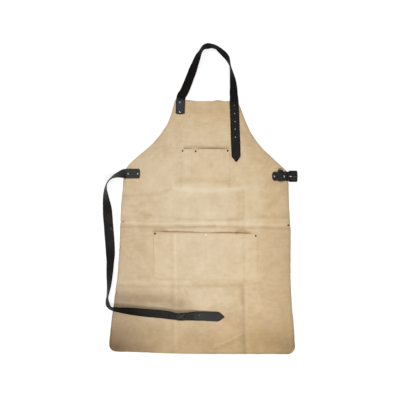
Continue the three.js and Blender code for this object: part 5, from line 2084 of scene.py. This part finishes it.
@dataclass(frozen=True)
class Lamp:
    """A square lamp that faces the apron's middle: its name, its place, its size and its power."""

    name: str
    place: tuple[float, float, float]
    size: float
    power: float

    def hang(self) -> None:
        """Hangs the lamp."""
        light = bpy.data.lights.new(self.name, "AREA")
        light.shape = "SQUARE"
        light.size = self.size
        light.energy = self.power
        lamp = bpy.data.objects.new(self.name, light)
        lamp.location = self.place
        lamp.rotation_euler = (-Vector(self.place)).to_track_quat("-Z", "Y").to_euler()
        bpy.context.collection.objects.link(lamp)


@dataclass
class Studio:
    """A white floor under soft light, seen from straight above, in metres."""

    view_centre: tuple[float, float] = (-0.00185, -0.005)
    view_width: float = 1.42
    height: float = 6.0
    sensor: float = 36.0
    floor_size: float = 24
    floor_drop: float = 0.0004
    daylight: float = 0.25
    lamps: tuple[Lamp, ...] = (
        Lamp("key_light", (0.7, -1.9, 3.6), 1.5, 88),
        Lamp("fill_light", (-1.4, 1.6, 3.8), 2.0, 60),
    )

    def floor(self) -> bpy.types.Object:
        """Lays the floor just under the apron.

        Returns:
            The floor.
        """
        bpy.ops.object.select_all(action="DESELECT")
        bpy.ops.mesh.primitive_plane_add(size=self.floor_size, location=(0, 0, -self.floor_drop))
        piece = bpy.context.active_object
        piece.name = "floor"
        settle_in(piece)
        piece.data.materials.append(FloorFinish().make())
        return piece

    def light(self) -> None:
        """Lights the apron evenly from all round, and a little more from below it at the right."""
        world = bpy.data.worlds.new("studio")
        world.use_nodes = True
        sky = world.node_tree.nodes["Background"]
        sky.inputs["Color"].default_value = (1, 1, 1, 1)
        sky.inputs["Strength"].default_value = self.daylight
        bpy.context.scene.world = world
        for lamp in self.lamps:
            lamp.hang()
        bpy.context.scene.view_settings.view_transform = "Standard"

    def camera(self) -> None:
        """Sets the camera straight above the middle of the picture."""
        data = bpy.data.cameras.new("camera")
        data.sensor_width = self.sensor
        data.lens = self.sensor * self.height / self.view_width
        camera = bpy.data.objects.new("camera", data)
        camera.location = (*self.view_centre, self.height)
        bpy.context.collection.objects.link(camera)
        bpy.context.scene.camera = camera


def main() -> None:
    """Builds the whole scene in order, and reports each piece."""
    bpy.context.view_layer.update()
    studio = Studio()
    studio.camera()
    studio.floor()
    studio.light()
    cut = ApronCut()
    spot = Placement.from_part(CHEST)
    finishes = Finishes()
    apron = ApronMaker(cut, spot, finishes)
    plan = StrapPlan(cut)
    neck = StrapMaker(
        "neck_strap_band", "neck_strap", plan.neck(), 5, finishes.neck, finishes.strap_edge, spot, NECK_SHINE,
    )
    waist = StrapMaker(
        "waist_strap_band", "waist_strap", plan.waist(), 9, finishes.strap, finishes.strap_edge, spot,
        WAIST_SHINE, WAIST_RUBS,
    )
    pieces = [*apron.build(), *SeamMaker(apron).build()]
    pieces += [strap.build(apron.face_at) for strap in (neck, waist)]
    pieces += BuckleMaker(finishes).build()
    pieces += RivetMaker(finishes, spot, apron.face_at, neck.route.thick).build()
    for piece in pieces:
        report(piece)


if __name__ == "__main__":
    main()
